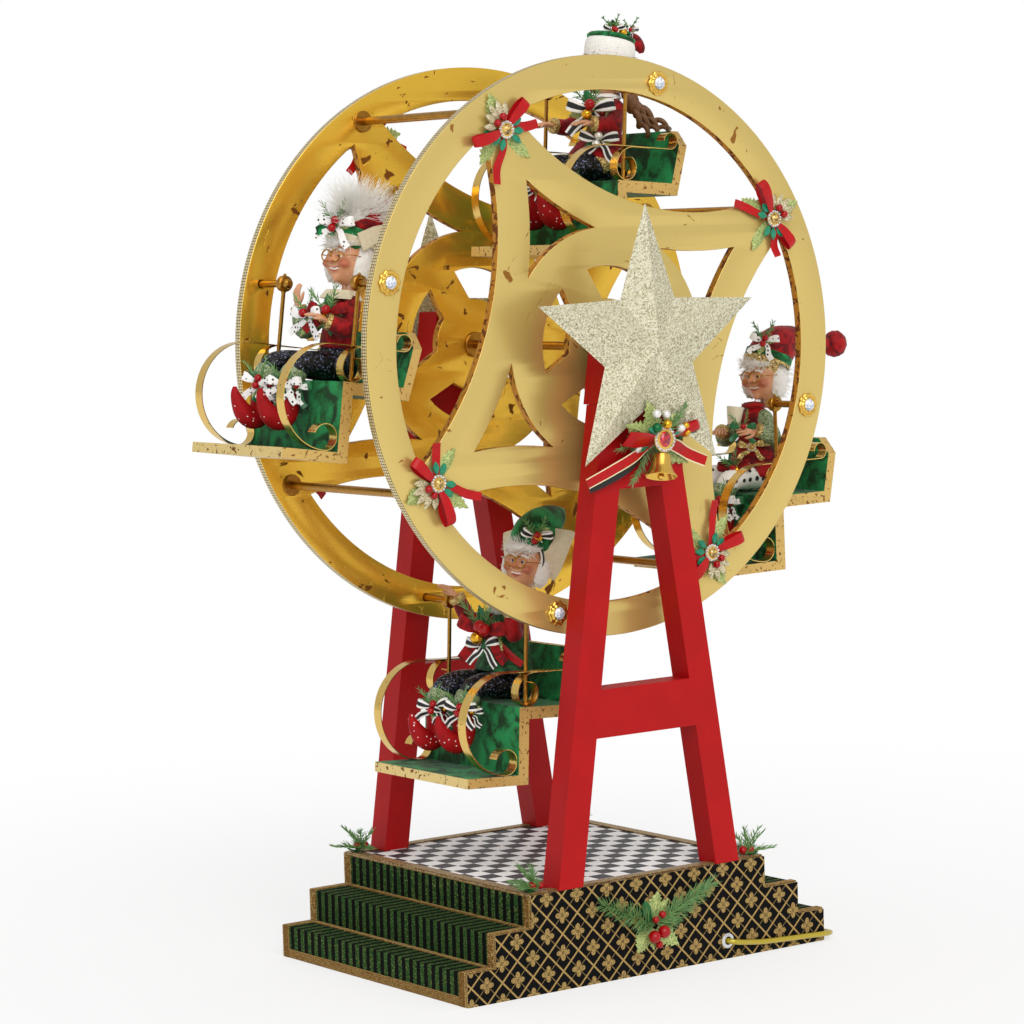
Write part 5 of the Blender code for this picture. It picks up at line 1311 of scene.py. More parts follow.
cheek_spot = spot(aside, rise, CHEEK, (24.0, 17.0))
nose_spot = calc("MULTIPLY", spot(aside, rise, (0.0, -7.0), (11.0, 9.0)), 0.8)
flush = calc("MAXIMUM", cheek_spot, nose_spot)
mouth = calc("MULTIPLY_ADD", calc("MULTIPLY", aside, aside), MOUTH_RISE, MOUTH_LEVEL)
off_mouth = calc("ABSOLUTE", calc("SUBTRACT", rise, mouth))
lips = calc("MULTIPLY", ease(off_mouth, 7.0, 4.5), ease(aside, 21.0, 16.0))
tone = mix(noise(place_of(tree)[0], 90.0, 3.0), "cc8c62", "dea27a")
tone = mix(calc("MULTIPLY", flush, 0.75), tone, "b04a2c")
feed(shader, "Base Color", mix(calc("MULTIPLY", lips, 0.8), tone, "a8443a"))

white_hair, tree, shader = new_material("white hair", roughness=0.7)
strands = noise(place_of(tree)[0], 420.0, 4.0, 1.2)
feed(shader, "Base Color", mix(strands, "e4decf", "ffffff"))
feed(shader, "Normal", bump(strands, 0.7, 0.0012))
sequins, tree, shader = new_material("black sequins", roughness=0.3, metallic=0.3)
flecks = use_group(tree, glitter_group, Vector=place_of(tree)[0], Size=0.0013)
# Painted glints: the rare pale blue-white flecks stand for light caught on the black sequins.
feed(shader, "Base Color", mix(ease(flecks["Shade"], 0.86, 0.98), "07070c", "9ca4d0"))
feed(shader, "Normal", flecks["Normal"])


def dotted(name, ground, dot, size, share=0.26):
    """Cloth with round dots: cells of a loose grid whose middle is the dot colour."""
    material, tree, shader = new_material(name, roughness=0.6)
    cells = add(
        tree, "ShaderNodeTexVoronoi",
        {"Vector": place_of(tree)[0], "Scale": 1 / size, "Randomness": 0.25}
    )
    mark = ease(cells.outputs["Distance"], share + 0.04, share - 0.04)
    feed(shader, "Base Color", mix(mark, ground, dot))
    return material


def striped(name, pale, dark, share):
    """Ribbon with one dark stripe along its middle, from its own UV map: the second way round the band."""
    material, tree, shader = new_material(name, roughness=0.5)
    around = add(
        tree, "ShaderNodeSeparateXYZ", {0: add(tree, "ShaderNodeTexCoord").outputs["UV"]}
    ).outputs[1]
    wide = calc("COSINE", calc("MULTIPLY", around, 2 * math.pi))
    middle = ease(calc("ABSOLUTE", wide), share + 0.04, share - 0.04)
    feed(shader, "Base Color", mix(middle, pale, dark))
    return material


boot_velvet, tree, shader = new_material("dotted boot velvet", roughness=0.6)
cells = add(
    tree, "ShaderNodeTexVoronoi", {"Vector": place_of(tree)[0], "Scale": 1 / 0.0058, "Randomness": 0.7}
)
velvet_tone = mix(noise(place_of(tree)[0], 110.0, 3.0), "7c0408", "b80c12")
feed(shader, "Base Color", mix(ease(cells.outputs["Distance"], 0.15, 0.12), velvet_tone, "f2e0dc"))
feed(shader, "Specular IOR Level", 0.2)
TRIMS |= {
    "skin": skin_look,
    "hand": cloudy("hand skin", "cc8e66", "dca680", 120.0, 3.0, 0.45),
    "white": white_hair,
    "brown": cloudy("brown curls", "3a1e0a", "8a5a28", 420.0, 4.0, distortion=1.2),
    "sequin": sequins,
    # The cuff and lace glitter carry painted glints and shade in their flecks.
    "green_glitter": glitter_look("green glitter cuffs", "2c4a2c", "c4d4a4", 0.0010, 0.3, 0.45),
    "lace": glitter_look("gold lace", "8a6424", "f0d890", 0.0012, 0.6, 0.35),
    "red": velvet_look("red velvet", "5c0206", "a80a10", 60.0, 0.1),
    "coat": velvet_look("green coat", "10301a", "2c6a3c", 90.0, 0.1),
    "felt": cloudy("cream felt", "cdbf9c", "ece2c6", 300.0, 4.0, 0.85, relief=(900.0, 0.4, 0.0005)),
    "boot": boot_velvet,
    "dots": dotted("dotted ribbon", "f4f2ee", "101010", 0.0042),
    "fur": dotted("dotted fur", "f2efe8", "15120f", 0.0095, 0.30),
    "stripes": striped("striped ribbon", "f4f2ec", "0b0b0d", 0.5),
    "eye": new_material("eye white", "f0ece4", 0.15)[0],
    "iris": new_material("iris", "3c5a78", 0.1)[0],
    "pupil": new_material("pupil", "060606", 0.1)[0],
    "wire": new_material("spectacle wire", "c08c3c", 0.2, 0.9)[0],
    "tooth": new_material("tooth", "f6f1e4", 0.3)[0],
    "cup": new_material("cream cup", "e0d6b8", 0.35)[0],
    "velvet": green_velvet,
}
TRIM = {name: index for index, name in enumerate(TRIMS)}


def bell_curve(value, centre, width):
    """exp(-((value - centre) / width)^2)."""
    return np.exp(-((value - centre) / width)**2)


def face_radius(az, el):
    """Distance of the face from the head's centre at azimuth az from the front and elevation el, in degrees.

    r = 1 / sqrt((cos e cos a / A)^2 + (cos e sin a / B)^2 + (sin e / C)^2) with A, B, C in HEAD_HALF, plus
    bell curves for nose, nostrils, cheeks, chin, eye sockets, brow, mouth and lips.
    """
    a, e = np.radians(az), np.radians(el)
    side = np.abs(az)
    deep, wide, tall = HEAD_HALF
    squares = (np.cos(e) * np.cos(a) / deep)**2 + (np.cos(e) * np.sin(a) / wide)**2 + (np.sin(e) / tall)**2
    radius = 1 / np.sqrt(squares)
    mouth = MOUTH_LEVEL + MOUTH_RISE * az**2
    near_mouth = np.exp(-(az / 21.0)**4)
    tip = 7.2 * bell_curve(az, 0, 7.0) * bell_curve(el, -5, 6.5)
    bridge = 3.2 * bell_curve(az, 0, 6.0) * bell_curve(el, 6, 8.0)
    radius += tip + bridge
    radius += 1.9 * bell_curve(side, 8.5, 4.0) * bell_curve(el, -9, 4.5)
    radius += 4.4 * bell_curve(side, CHEEK[0], 15.0) * bell_curve(el, CHEEK[1], 12.0)
    radius += 4.2 * bell_curve(az, 0, 15.0) * bell_curve(el, -52, 11.0)
    radius -= 2.6 * bell_curve(side, 19.0, 8.5) * bell_curve(el, 9, 6.5)
    radius += 1.3 * bell_curve(side, 20.0, 13.0) * bell_curve(el, 20, 5.0)
    radius -= 2.2 * bell_curve(el, mouth, 2.8) * near_mouth
    rolls = 1.0 * bell_curve(el, mouth + 5.5, 2.6) + 1.7 * bell_curve(el, mouth - 5.5, 3.0)
    radius += rolls * bell_curve(az, 0, 15.0)
    radius -= 1.0 * bell_curve(side, 25.0, 4.5) * bell_curve(el, -20, 6.0)
    return radius


def face_point(az, el, extra=0.0):
    """The place on the face at az and el, extra mm proud: (-r cos e cos a, -r cos e sin a, r sin e)."""
    radius = face_radius(az, el) + extra
    a, e = np.radians(az), np.radians(el)
    return np.stack(
        [-radius * np.cos(e) * np.cos(a), -radius * np.cos(e) * np.sin(a), radius * np.sin(e)], -1
    )


def limb(rows, skin, flat=1.0, sides=18, step=2.0):
    """A stuffed limb or a cap through (x, y, z, radius) rows, flat times as wide across as deep."""
    path = smooth_path(rows, step)
    radius = np.maximum(path[:, 3], 0.05)
    return tube(path[:, :3], radius * flat, radius, (0, 1, 0), sides, TRIM[skin])


def wire(points, radius, skin, sides=6):
    """A round wire, cord or lock of hair."""
    return tube(np.array(points, float), radius, None, (0.02, 1, 0.03), sides, TRIM[skin])


def aimed(origin, ahead, up=(0, 0, 1)):
    """A frame at origin whose +X points ahead and whose +Z is as near up as it can be."""
    x = Vector(ahead).normalized()
    y = Vector(up).cross(x).normalized()
    z = x.cross(y)
    return Matrix.Translation(origin) @ Matrix((x, y, z)).transposed().to_4x4()


def tuft(count, centre, size, length, thick, skin, aim=None, spread=1.0, curl=0.35):
    """Fine strands that start on an ellipsoid round centre and lean along its normal, or along aim."""
    t = np.linspace(0, 1, 6)
    path = np.stack([t, 0 * t, curl * np.sin(2.4 * t) * t], 1)
    strand = tube(path, thick * (1.02 - 0.85 * t), None, (0, 1, 0), 4, TRIM[skin])
    normals = random.normal(size=(count, 3))
    normals /= np.linalg.norm(normals, axis=1, keepdims=True)
    if aim is not None:
        normals = normals * spread + np.array(aim)
        normals /= np.linalg.norm(normals, axis=1, keepdims=True)
    places = []
    for normal in normals:
        root = np.array(centre) + normal * np.array(size) * ROOT_DEPTH
        roll = Matrix.Rotation(random.uniform(0, 2 * math.pi), 4, "X")
        place = aimed(root, normal + random.normal(size=3) * 0.35, (0.01, 0.02, 1)) @ roll
        places.append(place @ Matrix.Scale(length * random.uniform(0.6, 1.15), 4))
    return scatter(strand, places)


def lumpy(centre, radii, skin, depth):
    """An ellipsoid whose surface rolls by depth: hair, fur or a pompom."""
    part = ball((0, 0, 0), 1.0, 36, 24, TRIM[skin])
    points = part[0]
    roll = np.sin(9 * points[:, 0] + 2) * np.sin(8 * points[:, 1]) * np.sin(10 * points[:, 2] + 1)
    points = points * (1 + depth * roll)[:, None] * np.array(radii) + np.array(centre)
    return points, *part[1:]


def eye_part(side):
    """An eyeball with its pole forward: white, then iris, then pupil."""
    eye = ball((0, 0, 0), EYE_RADIUS, EYE_SIDES, 14, TRIM["eye"])
    row = np.arange(len(eye[1])) // EYE_SIDES
    eye[3][row >= 12] = TRIM["iris"]
    eye[3][row >= 13] = TRIM["pupil"]
    centre = face_point(side * EYE_AZ, EYE_EL, -1.6)
    return moved(eye, Matrix.Translation(centre) @ Matrix.Rotation(math.radians(-90 - side * 4), 4, "Y"))


def head_parts(hair="white"):
    """Face with teeth, eyes, lids, brows and wire spectacles, in loose hair, about the head's centre."""
    el = np.linspace(-90, 90, FACE_ROWS + 1)[:, None]
    az = np.linspace(-180, 180, FACE_COLUMNS, endpoint=False)[None]
    bite = np.linspace(-16, 16, 17)
    teeth = face_point(bite, MOUTH_LEVEL + MOUTH_RISE * bite**2 + 0.8, 0.5)
    parts = [
        grid(face_point(az + 0 * el, el + 0 * az), (False, True), TRIM["skin"]),
        tube(teeth, 1.7, 0.9, (0, 0, 1), 8, TRIM["tooth"]),
        wire([(8, 0, -14), (7, 0, -22), (6, 0, -31)], 7.5, "hand", 14),
    ]
    lid = np.linspace(-11, 11, 9)
    ring = np.radians(np.arange(0, 361, 15))
    for side in (-1, 1):
        lid_path = face_point(side * EYE_AZ + lid, 13.6 - 0.035 * lid**2, 0.9)
        brow_path = face_point(side * 20 + lid * 1.1, 23 - 0.03 * lid**2, 0.6)
        _, y, z = face_point(side * 17.0, 6.5, 0.0)
        rim = np.stack([LENS_X + 0 * ring, y + LENS_HALF * np.cos(ring), z + 5.7 * np.sin(ring)], 1)
        ear = -side * 20.5
        arm = [(LENS_X, y - side * LENS_HALF, z + 1), (-16, ear * 0.98, z + 2), (0, ear * 1.07, z + 2)]
        parts += [
            eye_part(side),
            tube(lid_path, 0.9, None, (0, 0, 1), 6, TRIM["hand"]),
            tube(brow_path, np.linspace(0.9, 1.3, 9), 0.8, (0, 0, 1), 6, TRIM[hair]),
            wire(rim, 0.75, "wire"),
            wire(arm, 0.5, "wire"),
        ]
    inner = abs(face_point(17.0, 6.5)[1]) - LENS_HALF
    return parts + [
        wire([(LENS_X, -inner, 4), (LENS_X - 1, 0, 5.5), (LENS_X, inner, 4)], 0.5, "wire"),
        lumpy((7.5, 0, 3), (20.5, 23.0, 24.0), hair, 0.05),
        lumpy((-10, 0, 16.5), (11, 17.5, 5.5), hair, 0.12),
        lumpy((2, -17.5, -4), (11, 8.0, 17), hair, 0.10),
        lumpy((2, 17.5, -4), (11, 8.0, 17), hair, 0.10),
        tuft(420, (6.5, 0, 1), (20.0, 25.0, 25.0), 9.0, 0.045, hair, (0.35, 0, -0.1), 1.1),
        tuft(260, (-7, 0, 15), (13.0, 19.0, 8.0), 9.0, 0.05, hair, (-0.8, 0, 0.3), 0.8),
    ]


def hand_parts(wrist, ahead, palm_up, side):
    """Palm, four fingers and a thumb from the wrist along ahead; side 1 has its thumb at local +Y."""
    rows = [(-2, 0, 0, 2.2), (1, 0, 0, 3.2), (6, 0, 0, 3.6), (9.5, 0, -0.3 * FINGER_CURL, 3.0)]
    palm = limb(rows, "hand", 1.25)
    palm = (palm[0] * np.array((1, 1, 0.62)), *palm[1:])
    parts = [palm]
    for k, length in enumerate((8.4, 9.6, 9.2, 7.6)):
        y = (k - 1.5) * 2.25
        rows = [
            (8, y, 0, 1.35), (8 + length * 0.5, y * 1.1, -1.6 * FINGER_CURL, 1.3),
            (8 + length * 0.8, y * 1.15, -4.2 * FINGER_CURL, 1.15),
            (8 + length, y * 1.15, -6.6 * FINGER_CURL, 0.8),
        ]
        parts.append(limb(rows, "hand", 1.0, 10, 1.2))
    rows = [
        (2.0, side * 3.2, 0, 1.6), (5.0, side * 6.0, -0.8, 1.5), (8.5, side * 6.8, -2.4, 1.2),
        (10.2, side * 6.6, -3.4, 0.7),
    ]
    parts.append(limb(rows, "hand", 1.0, 10, 1.2))
    place = aimed(wrist, ahead, palm_up) @ Matrix.Scale(1.18, 4)
    return [moved(part, place) for part in parts]


def in_mm(part):
    """A part made in metres, for use among parts in millimetres."""
    return part[0] * MM, *part[1:]


def toward(x, y, z, facing, tilt=0.0):
    """A frame for trim at a place in millimetres: it faces -Y turned by facing degrees towards -X."""
    turn = Matrix.Rotation(math.radians(-facing), 4, "Z") @ Matrix.Rotation(math.radians(tilt), 4, "X")
    return Matrix.Translation((x, y, z)) @ turn


def small_bow(at, ribbon, size, extras, leaves, pine, jewel=None):
    """A little bow of ribbon with leaves, pine tips, berries or a jewel, in millimetres, at toward(*at)."""
    parts = []
    for k in range(leaves):
        leaf = spiny_leaf(0.0115 * size, 0.0075 * size, "emerald" if k % 2 else "holly", 0.001, 0.002)
        parts.append(swung(leaf, 25 + 360 * k / leaves + random.uniform(-20, 20)))
    for angle in (18, 162):
        loop = ribbon_loop(0.0125 * size, 0.0062 * size, ribbon, lift=0.0042 * size)
        parts.append(swung(loop, angle + random.uniform(-8, 8)))
    for angle in (222, 305):
        end = ribbon_tail(0.0165 * size, 0.0048 * size, ribbon, 0.001)
        parts.append(swung(end, angle + random.uniform(-8, 8)))
    for k in range(2 if pine else 0):
        parts += [swung(part, (75, 130)[k]) for part in pine_frond(0.013 * size, pine, 0.006 * size)]
    for k, skin in enumerate(extras):
        angle = math.radians(90 + 150 * k)
        reach = 0.0027 * size
        parts.append(berry(reach * math.cos(angle), reach * math.sin(angle), reach, -0.0058 * size, skin))
    if jewel:
        parts += [moved(part, Matrix.Scale(0.5 * size, 4)) for part in rosette(0.0085, 12, jewel)]
    return [moved(in_mm(part), toward(*at)) for part in parts]


def leg_parts(side, ahead, cloth):
    """One trouser leg, then its cuff and boot: side is -1 near the viewer, and ahead moves the foot to -X."""
    y = side * FOOT_Y
    trousers = limb([
        (24, side * 12, -79, 6), (20, side * 12.5, -79, 12), (4, side * 15, -78, 12.8),
        (-12 - ahead * 0.5, y, -77, 12.2), (-24 - ahead, y, -80, 11.5), (-30 - ahead, y, -87, 11),
        (-32 - ahead, y, -92, 9.5), (-32 - ahead, y, -93, 3),
    ], cloth)
    cuff = limb([
        (-29 - ahead, y, -85, 9), (-29 - ahead, y, -86, 11.8), (-32.5 - ahead, y, -91, 12.2),
        (-34 - ahead, y, -97, 11.8), (-34 - ahead, y, -98, 9),
    ], "green_glitter")
    boot = limb([
        (-34 - ahead, y, -95, 7), (-35 - ahead, y, -97, 9.6), (-35.5 - ahead, y, -108, 10.5),
        (-34.5 - ahead, y, -121, 11.2), (-37 - ahead, y, -131, 9.8), (-45 - ahead, y, -133, 9.8),
        (-54 - ahead, y, -128, 9.2), (-61 - ahead, y, -119, 6.6), (-65 - ahead, y, -111, 4.2),
        (-66 - ahead, y, -105, 1.8),
    ], "boot", 1.0, 20, 1.6)
    return trousers, [cuff, boot]


def turned_by(roll, pitch, yaw):
    """Turns about X, then Y, then Z, in degrees."""
    turns = [
        Matrix.Rotation(math.radians(angle), 4, axis) for angle, axis in zip((roll, pitch, yaw), "XYZ")
    ]
    return turns[2] @ turns[1] @ turns[0]


# What differs between the four: head shift, feet, arms as (elbow, wrist, ahead, palm, thumb), and trim
ELVES = {
    "left": {
        "head": (1, 0, 24), "turn": (0, 2, 15), "hat": (0, 5, 6), "feet": (2, 9), "ribbon": "dots",
        "hair": "white",
        "arms": {
            1: ((8, 35, -44), (3, 41, -21), (-0.2, 0.15, 1), (-1, 0.1, 0), -1),
            -1: ((12, -33, -42), (-6, -24, -36), (-1, 0.6, 0.5), (0, 0, 1), 1),
        },
    },
    "bottom": {
        "head": (19, 0, 39), "turn": (7, 4, 27), "hat": (6, 2, 20), "feet": (4, 12),
        "ribbon": "stripes", "hair": "white",
        "arms": {
            1: ((8, 40, -18), (-5, 47, 6), (-0.9, 0.4, 0.9), (0.6, 0, 0.8), -1),
            -1: ((8, -33, -26), (2, -36, -2), (0.1, 0.25, 1), (-1, 0, 0.2), 1),
        },
    },
    "right": {
        "head": (14, 0, 22), "turn": (0, 2, 15), "hat": (0, 15, 0), "feet": (0, 8), "ribbon": "dots",
        "hair": "white", "cloth": "fur",
        "arms": {
            1: ((12, 31, -40), (-2, 20, -30), (-0.7, -0.8, 0.1), (0, 0, 1), -1),
            -1: ((22, -33, -36), (6, -27, -28), (-1, 0.35, 0.05), (0, -1, 0.4), 1),
        },
    },
    "top": {
        "head": (2, 0, 19), "turn": (0, 0, 20), "hat": (0, 0, 0), "feet": (0, 6), "ribbon": "stripes",
        "hair": "brown",
        "arms": {
            1: ((4, 32, -36), (-18, 31, -36), (-1, -0.1, 0.1), (0, 0, 1), -1),
            -1: ((8, -34, -36), (-12, -27, -36), (-1, 0.3, 0.1), (0, 0, 1), 1),
        },
    },
}


def left_hat():
    """A red cap that leans back, with felt ears, a green peak and a plume."""
    parts = [
        limb([(2, 0, 15, 20), (2, 0, 16, 24.6), (3, 0, 19, 25.2), (3, 0, 20, 22)], "felt"),
        limb([(3, 0, 19, 21), (3, 0, 20, 25.6), (5, 0, 27, 25.2), (5, 0, 28, 20)], "velvet"),
        limb([
            (6, 0, 26, 20), (7, 0, 31, 23.5), (13, 0, 42, 22.5), (23, 0, 52, 17.5), (31, 0, 59, 11.5),
            (38, 0, 61, 6.5), (42, 0, 58, 2),
        ], "red"),
    ]
    for side in (-1, 1):
        ear = np.array([(-8, side * 24.5, 17), (8, side * 27, 28), (25, side * 26, 42)])
        parts.append(tube(ear, (9, 8, 0.3), 0.8, (-0.65, 0, 0.75), 4, TRIM["felt"], square=True))
    peak = np.array([(-21, 0, 24), (-33, 1, 25), (-41, 2, 21)])
    return parts + [
        tube(peak, 4.2, 0.6, (0, 0, 1), 4, TRIM["velvet"], square=True),
        lumpy((-4, -8, 45), (15, 11, 13), "white", 0.12),
        tuft(640, (-5, -8, 40), (10, 8, 8), 36.0, 0.010, "white", (-0.1, -0.15, 0.9), 0.75, 0.3),
        tuft(320, (4, -10, 42), (10, 8, 8), 32.0, 0.010, "white", (0.75, -0.3, 0.55), 0.55, 0.3),
        tuft(200, (-12, -8, 40), (8, 8, 6), 32.0, 0.010, "white", (-0.9, -0.3, 0.5), 0.45, 0.4),
        *small_bow((-26, -8, 29, 55), "dots", 1.5, ("berry", "berry"), 2, 30),
    ]


def bottom_hat():
    """A green cap inside a tall pointed felt brim with a striped edge."""
    a = np.radians(np.linspace(-122, 122, 61))[:, None]
    t = np.linspace(0, 1, 9)[None]
    point = np.exp(-np.abs(np.degrees(a) + 52) / 20) * 26 + np.exp(-np.abs(np.degrees(a) - 62) / 24) * 14
    flare = 22 + (9 + point) * t
    brim = np.stack(
        [(-1 + 14 * t + 5 * np.sin(np.pi * t)) + 0 * a, flare * np.sin(a), 4 + flare * np.cos(a)], -1
    )
    inner = brim + np.array((1.4, 0, 0.4))
    edge = brim[:, 0] + np.array((-1.6, 0, 0.6))
    return [
        limb([
            (6, 0, 16, 19), (6, 0, 17, 22.5), (12, 0, 30, 23), (26, 0, 40, 19), (44, 0, 48, 12),
            (56, 0, 54, 3),
        ], "velvet"),
        grid(np.concatenate([brim, inner[:, ::-1]], 1), (False, True), TRIM["felt"]),
        tube(edge, 3.6, 0.7, (1, 0, 0.1), 12, TRIM["stripes"]),
        *small_bow((-7, -13, 31, 50, 20), "stripes", 1.3, ("berry", "berry"), 4, 30),
        ball((-10, -17, 30), 5.0, 18, 12, TRIM["gold"]),
    ]


def right_hat():
    """A long red stocking cap with a green and gold band and a pompom."""
    return [
        limb([
            (2, 0, 19, 20), (2, 0, 20, 23.6), (6, 0, 29, 23.6), (14, 0, 38, 21.5), (28, 0, 46, 16),
            (44, 0, 49, 11), (62, 0, 50, 8), (82, 0, 54, 6), (86, 0, 54, 2),
        ], "red"),
        limb([(1, 0, 18, 22), (1, 0, 18.5, 24.8), (3, 0, 26, 25.0), (3, 0, 27, 22)], "velvet"),
        limb([(0.5, 0, 15.5, 22), (0.5, 0, 15.8, 25.2), (1, 0, 18.4, 25.4), (1, 0, 19, 22)], "lace"),
        lumpy((89, 0, 55), (13, 13, 14), "red", 0.05),
        tuft(200, (89, 0, 55), (12, 12, 13), 3.5, 0.10, "red"),
        *small_bow((-20, -15, 35, 35), "dots", 1.25, ("berry", "berry"), 3, 30),
    ]


def top_hat():
    """A white fur hat with a green rim, a red fold and two bows."""
    rim = limb([(0, 0, -1, 20), (0, 0, 1.2, 24.8), (0, 0, 5.2, 23.4), (0, 0, 7.5, 14)], "velvet")
    return [
        limb([
            (0, 0, 12, 19), (0, 0, 13, 24.5), (0, 0, 22, 26), (1, 0, 31, 24), (2, 0, 36, 17),
            (2, 0, 38, 8),
        ], "white"),
        tuft(300, (0, 0, 24), (24, 24, 9), 4.0, 0.08, "white"),
        moved(rim, Matrix.Translation((1, 0, 31)) @ Matrix.Rotation(math.radians(9), 4, "Y")),
        limb([(14, -8, 32, 8), (22, -10, 32, 8), (29, -12, 26, 5.5), (31, -12, 21, 2.5)], "red"),
        *small_bow((-6, -14, 42, 40, 25), "stripes", 0.9, ("berry", "gold", "berry"), 4, 30),
        *small_bow((10, -16, 42, 10, 25), "stripes", 0.8, ("berry", "green"), 3, 24),
        ball((2, -18, 39), 4.6, 18, 12, TRIM["gold"]),
        ball((16, -16, 44), 3.2, 14, 10, TRIM["berry"]),
    ]


def left_trim():
    """A scalloped ruff, a belt, and a bouquet in the hands."""
    ruff = turned([(8, 2), (14, 4), (19, -3), (19.5, -5), (13, 1), (7, 0)], 40, TRIM["felt"])
    ruff = lobed(ruff, 7, 0.10)
    return [
        moved(ruff, Matrix.Translation((25, 0, -8))),
        limb([(25, 0, -42, 15), (25, 0, -41, 17.2), (26, 0, -33, 17.0), (26, 0, -32, 15)], "velvet", 1.15),
        limb([
            (26, 0, -33, 15), (26, 0, -32.6, 17.4), (26, 0, -31.6, 17.4), (26, 0, -31, 15),
        ], "lace", 1.15),
        *small_bow((2, -16, -30, 55), "red", 1.7, ("berry", "gold"), 4, 30),
        *small_bow((-8, 2, -34, 80), "dots", 1.6, ("berry",), 3, 24),
    ]


def bottom_trim():
    """A green coat with a white fur collar and a great red bow."""
    tail = ribbon_tail(0.044, 0.0075, "satin", 0.001)
    return [
        limb([
            (22, 0, -66, 24), (22, 0, -65, 29), (25, 0, -46, 22), (27, 0, -24, 18), (26, 0, -10, 13),
            (26, 0, -8, 8),
        ], "coat", 1.15),
        lumpy((22, 0, -4), (17, 19, 7), "white", 0.12),
        tuft(240, (22, 0, -4), (17, 19, 7), 5.0, 0.06, "white"),
        *small_bow((-6, -6, -26, 65), "red", 2.3, ("berry", "gold", "berry"), 5, 40),
        *small_bow((-6, -5, -40, 65), "stripes", 1.5, (), 0, 0),
        moved(in_mm(swung(tail, -38)), toward(-4, -8, -30, 45)),
    ]


def right_trim():
    """A red skirt with a gold belt, a collar, a cup in the hands and three bows."""
    side = [(0, 0), (6.5, 0), (8.6, 15), (9.0, 18), (8.2, 18), (7.4, 14), (5.6, 2), (0, 2)]
    cup = turned(side, 32, TRIM["cup"])
    return [
        limb([
            (20, 0, -78, 22), (20, 0, -77, 28), (24, 0, -60, 22), (26, 0, -46, 17.2), (26, 0, -44, 14),
        ], "red", 1.12),
        limb([(26, 0, -48, 15), (26, 0, -47, 17.8), (26, 0, -44, 17.6), (26, 0, -43, 15)], "lace", 1.15),
        lumpy((26, 0, -5), (12, 13, 4), "red", 0.10),
        moved(cup, Matrix.Translation((-9, -9, -22)) @ Matrix.Rotation(math.radians(10), 4, "Y")),
        *small_bow((-4, -18, -27, 40), "emerald", 1.1, ("berry",), 2, 12),
        *small_bow((6, -19, -46, 45), "lace", 1.1, (), 0, 0, "amber"),
        *small_bow((-12, -14, -66, 60, 30), "red", 1.5, ("berry", "berry", "gold"), 3, 24),
    ]


def top_trim():
    """A red skirt with a gold hem, a white collar and two striped bows."""
    return [
        limb([
            (16, 0, -76, 24), (16, 0, -75, 30), (22, 0, -56, 23), (25, 0, -40, 17), (26, 0, -38, 14),
        ], "red", 1.12),
        limb([(16, 0, -77, 27), (16, 0, -76.5, 31), (17, 0, -73.5, 30.4), (17, 0, -73, 26)], "lace", 1.12),
        lumpy((25, 0, -7), (15, 17, 5), "white", 0.10),
        *small_bow((-2, -14, -22, 50), "stripes", 2.0, ("berry", "gold"), 4, 30),
        *small_bow((0, -24, -52, 40), "stripes", 1.6, ("pearl", "pearl"), 2, 10),
    ]


def ringlets():
    """Four brown locks that hang back over the bench, each a helix of 3 mm about a sagging line."""
    locks = []
    t = np.linspace(0, 1, 48)
    for k in range(4):
        start = np.array((34 - 2 * k, -20 - 2 * k, 2))
        stop = np.array((88 - 11 * k, -30 - 2 * k, -34 - 3 * k))
        path = start + (stop - start) * t[:, None] - 7 * np.stack([0 * t, 0 * t, np.sin(3.1 * t)], 1)
        curl = path + 3.0 * np.stack([0 * t, np.cos(19 * t + 2 * k), np.sin(19 * t + 2 * k)], 1)
        locks.append(wire(curl, 4.4 - 2.2 * t, "brown", 10))
    return locks


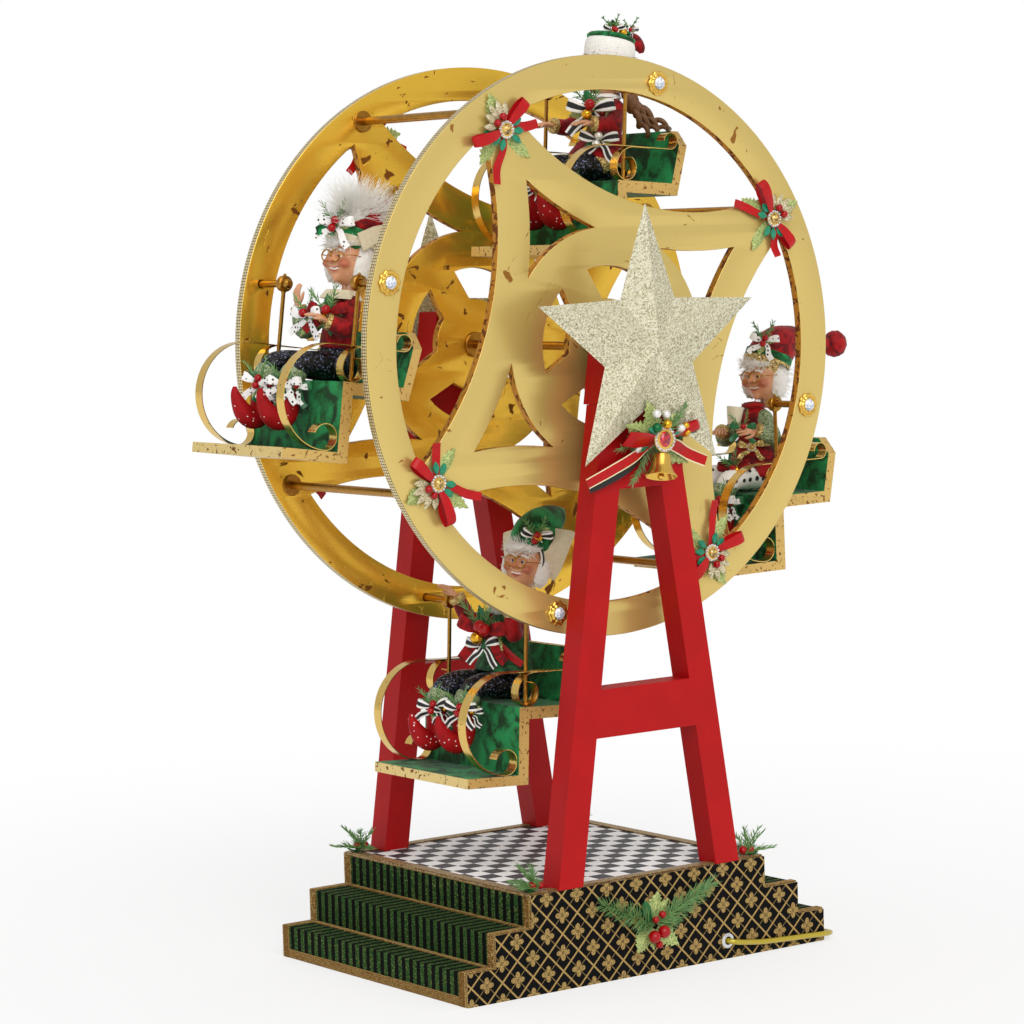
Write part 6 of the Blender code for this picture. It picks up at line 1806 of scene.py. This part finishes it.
HATS = {"left": left_hat, "bottom": bottom_hat, "right": right_hat, "top": top_hat}
BODY_TRIMS = {"left": left_trim, "bottom": bottom_trim, "right": right_trim, "top": top_trim}
GREEN_SLEEVES = (("left", 1), ("right", -1), ("right", 1))
PADDING, CLOTH_SHARP = 0.9, 40
for name, elf in ELVES.items():
    seat = BENCH[name] @ Matrix.Scale(1 / MM, 4)
    cloth = elf.get("cloth", "sequin")
    trousers = [limb([
        (25, 0, -92.6, 10), (25, 0, -91.5, 18), (25, 0, -80, 20.5), (25, 0, -68, 19.5),
        (25, 0, -60, 16), (25, 0, -59, 5),
    ], cloth, 1.12)]
    boots = []
    bead = "gold" if name in ("bottom", "top") else "berry"
    for side, ahead in zip((-1, 1), elf["feet"]):
        leg, foot = leg_parts(side, ahead, cloth)
        y = side * FOOT_Y
        trousers.append(leg)
        boots += foot
        boots += small_bow((-43 - ahead, y - 7, -99, 50), elf["ribbon"], 1.35, ("berry", "berry"), 3, 16)
        if name in ("left", "right"):
            boots += small_bow((-34 - ahead, y - 9, -101, 20), "emerald", 1.3, (), 0, 0)
        boots += small_bow((-36 - ahead, y - 11, -103, 15), elf["ribbon"], 1.0, (bead,), 2, 8)
    jacket = [limb([
        (25, 0, -61, 8), (25, 0, -59, 16.5), (25, 0, -48, 16.2), (27, 0, -34, 15.8), (27, 0, -17, 14.6),
        (26, 0, -9, 10), (25, 0, -5, 6),
    ], "red", 1.15)]
    trim = []
    for side, (elbow, wrist, ahead, palm, thumb) in elf["arms"].items():
        elbow, wrist = np.array(elbow, float), np.array(wrist, float)
        forearm = wrist - elbow
        shoulder = np.array(SHOULDER) * (1, side, 1)
        jacket.append(limb([
            (26, side * 11, -15, 6), (*shoulder, 8.4), (*((shoulder + elbow) / 2), 8.8), (*elbow, 8.6),
            (*(elbow + forearm * 0.80), 7.2), (*(elbow + forearm * 0.84), 4),
        ], "green_glitter" if (name, side) in GREEN_SLEEVES else "red"))
        cuff_in, cuff_out = elbow + forearm * 0.74, elbow + forearm * 0.98
        cuff = cuff_out - cuff_in
        trim.append(limb([
            (*cuff_in, 6.2), (*(cuff_in + cuff * 0.1), 8.0), (*cuff_out, 7.6),
            (*(cuff_out + cuff * 0.05), 3),
        ], "lace"))
        trim += hand_parts(wrist, ahead, palm, thumb)
    trim += BODY_TRIMS[name]()
    neck = seat @ Matrix.Translation(Vector(NECK) + Vector(elf["head"]))
    head = [moved(part, neck @ turned_by(*elf["turn"])) for part in head_parts(elf["hair"])]
    head += [moved(part, neck @ turned_by(*elf["hat"])) for part in HATS[name]()]
    if name == "top":
        head += [moved(part, seat) for part in ringlets()]
    pieces = {
        "trousers": (trousers, "elf_trousers", [name + "_elf_legs"]), "boots": (boots, "elf_suit", ()),
        "jacket": (jacket, "elf_suit", [name + "_elf_body"]), "hands_and_trim": (trim, "elf_suit", ()),
        "head_and_hat": (head, "elf_skin", [name + "_elf_head"]),
    }
    for label, (parts, slot, replaced) in pieces.items():
        if label != "head_and_hat":
            parts = [moved(part, seat) for part in parts]
        piece = trimmed(
            f"{name}_{label}", parts, name + "_gondola", CLOTH_SHARP, slot=slot, replaces=replaced
        )
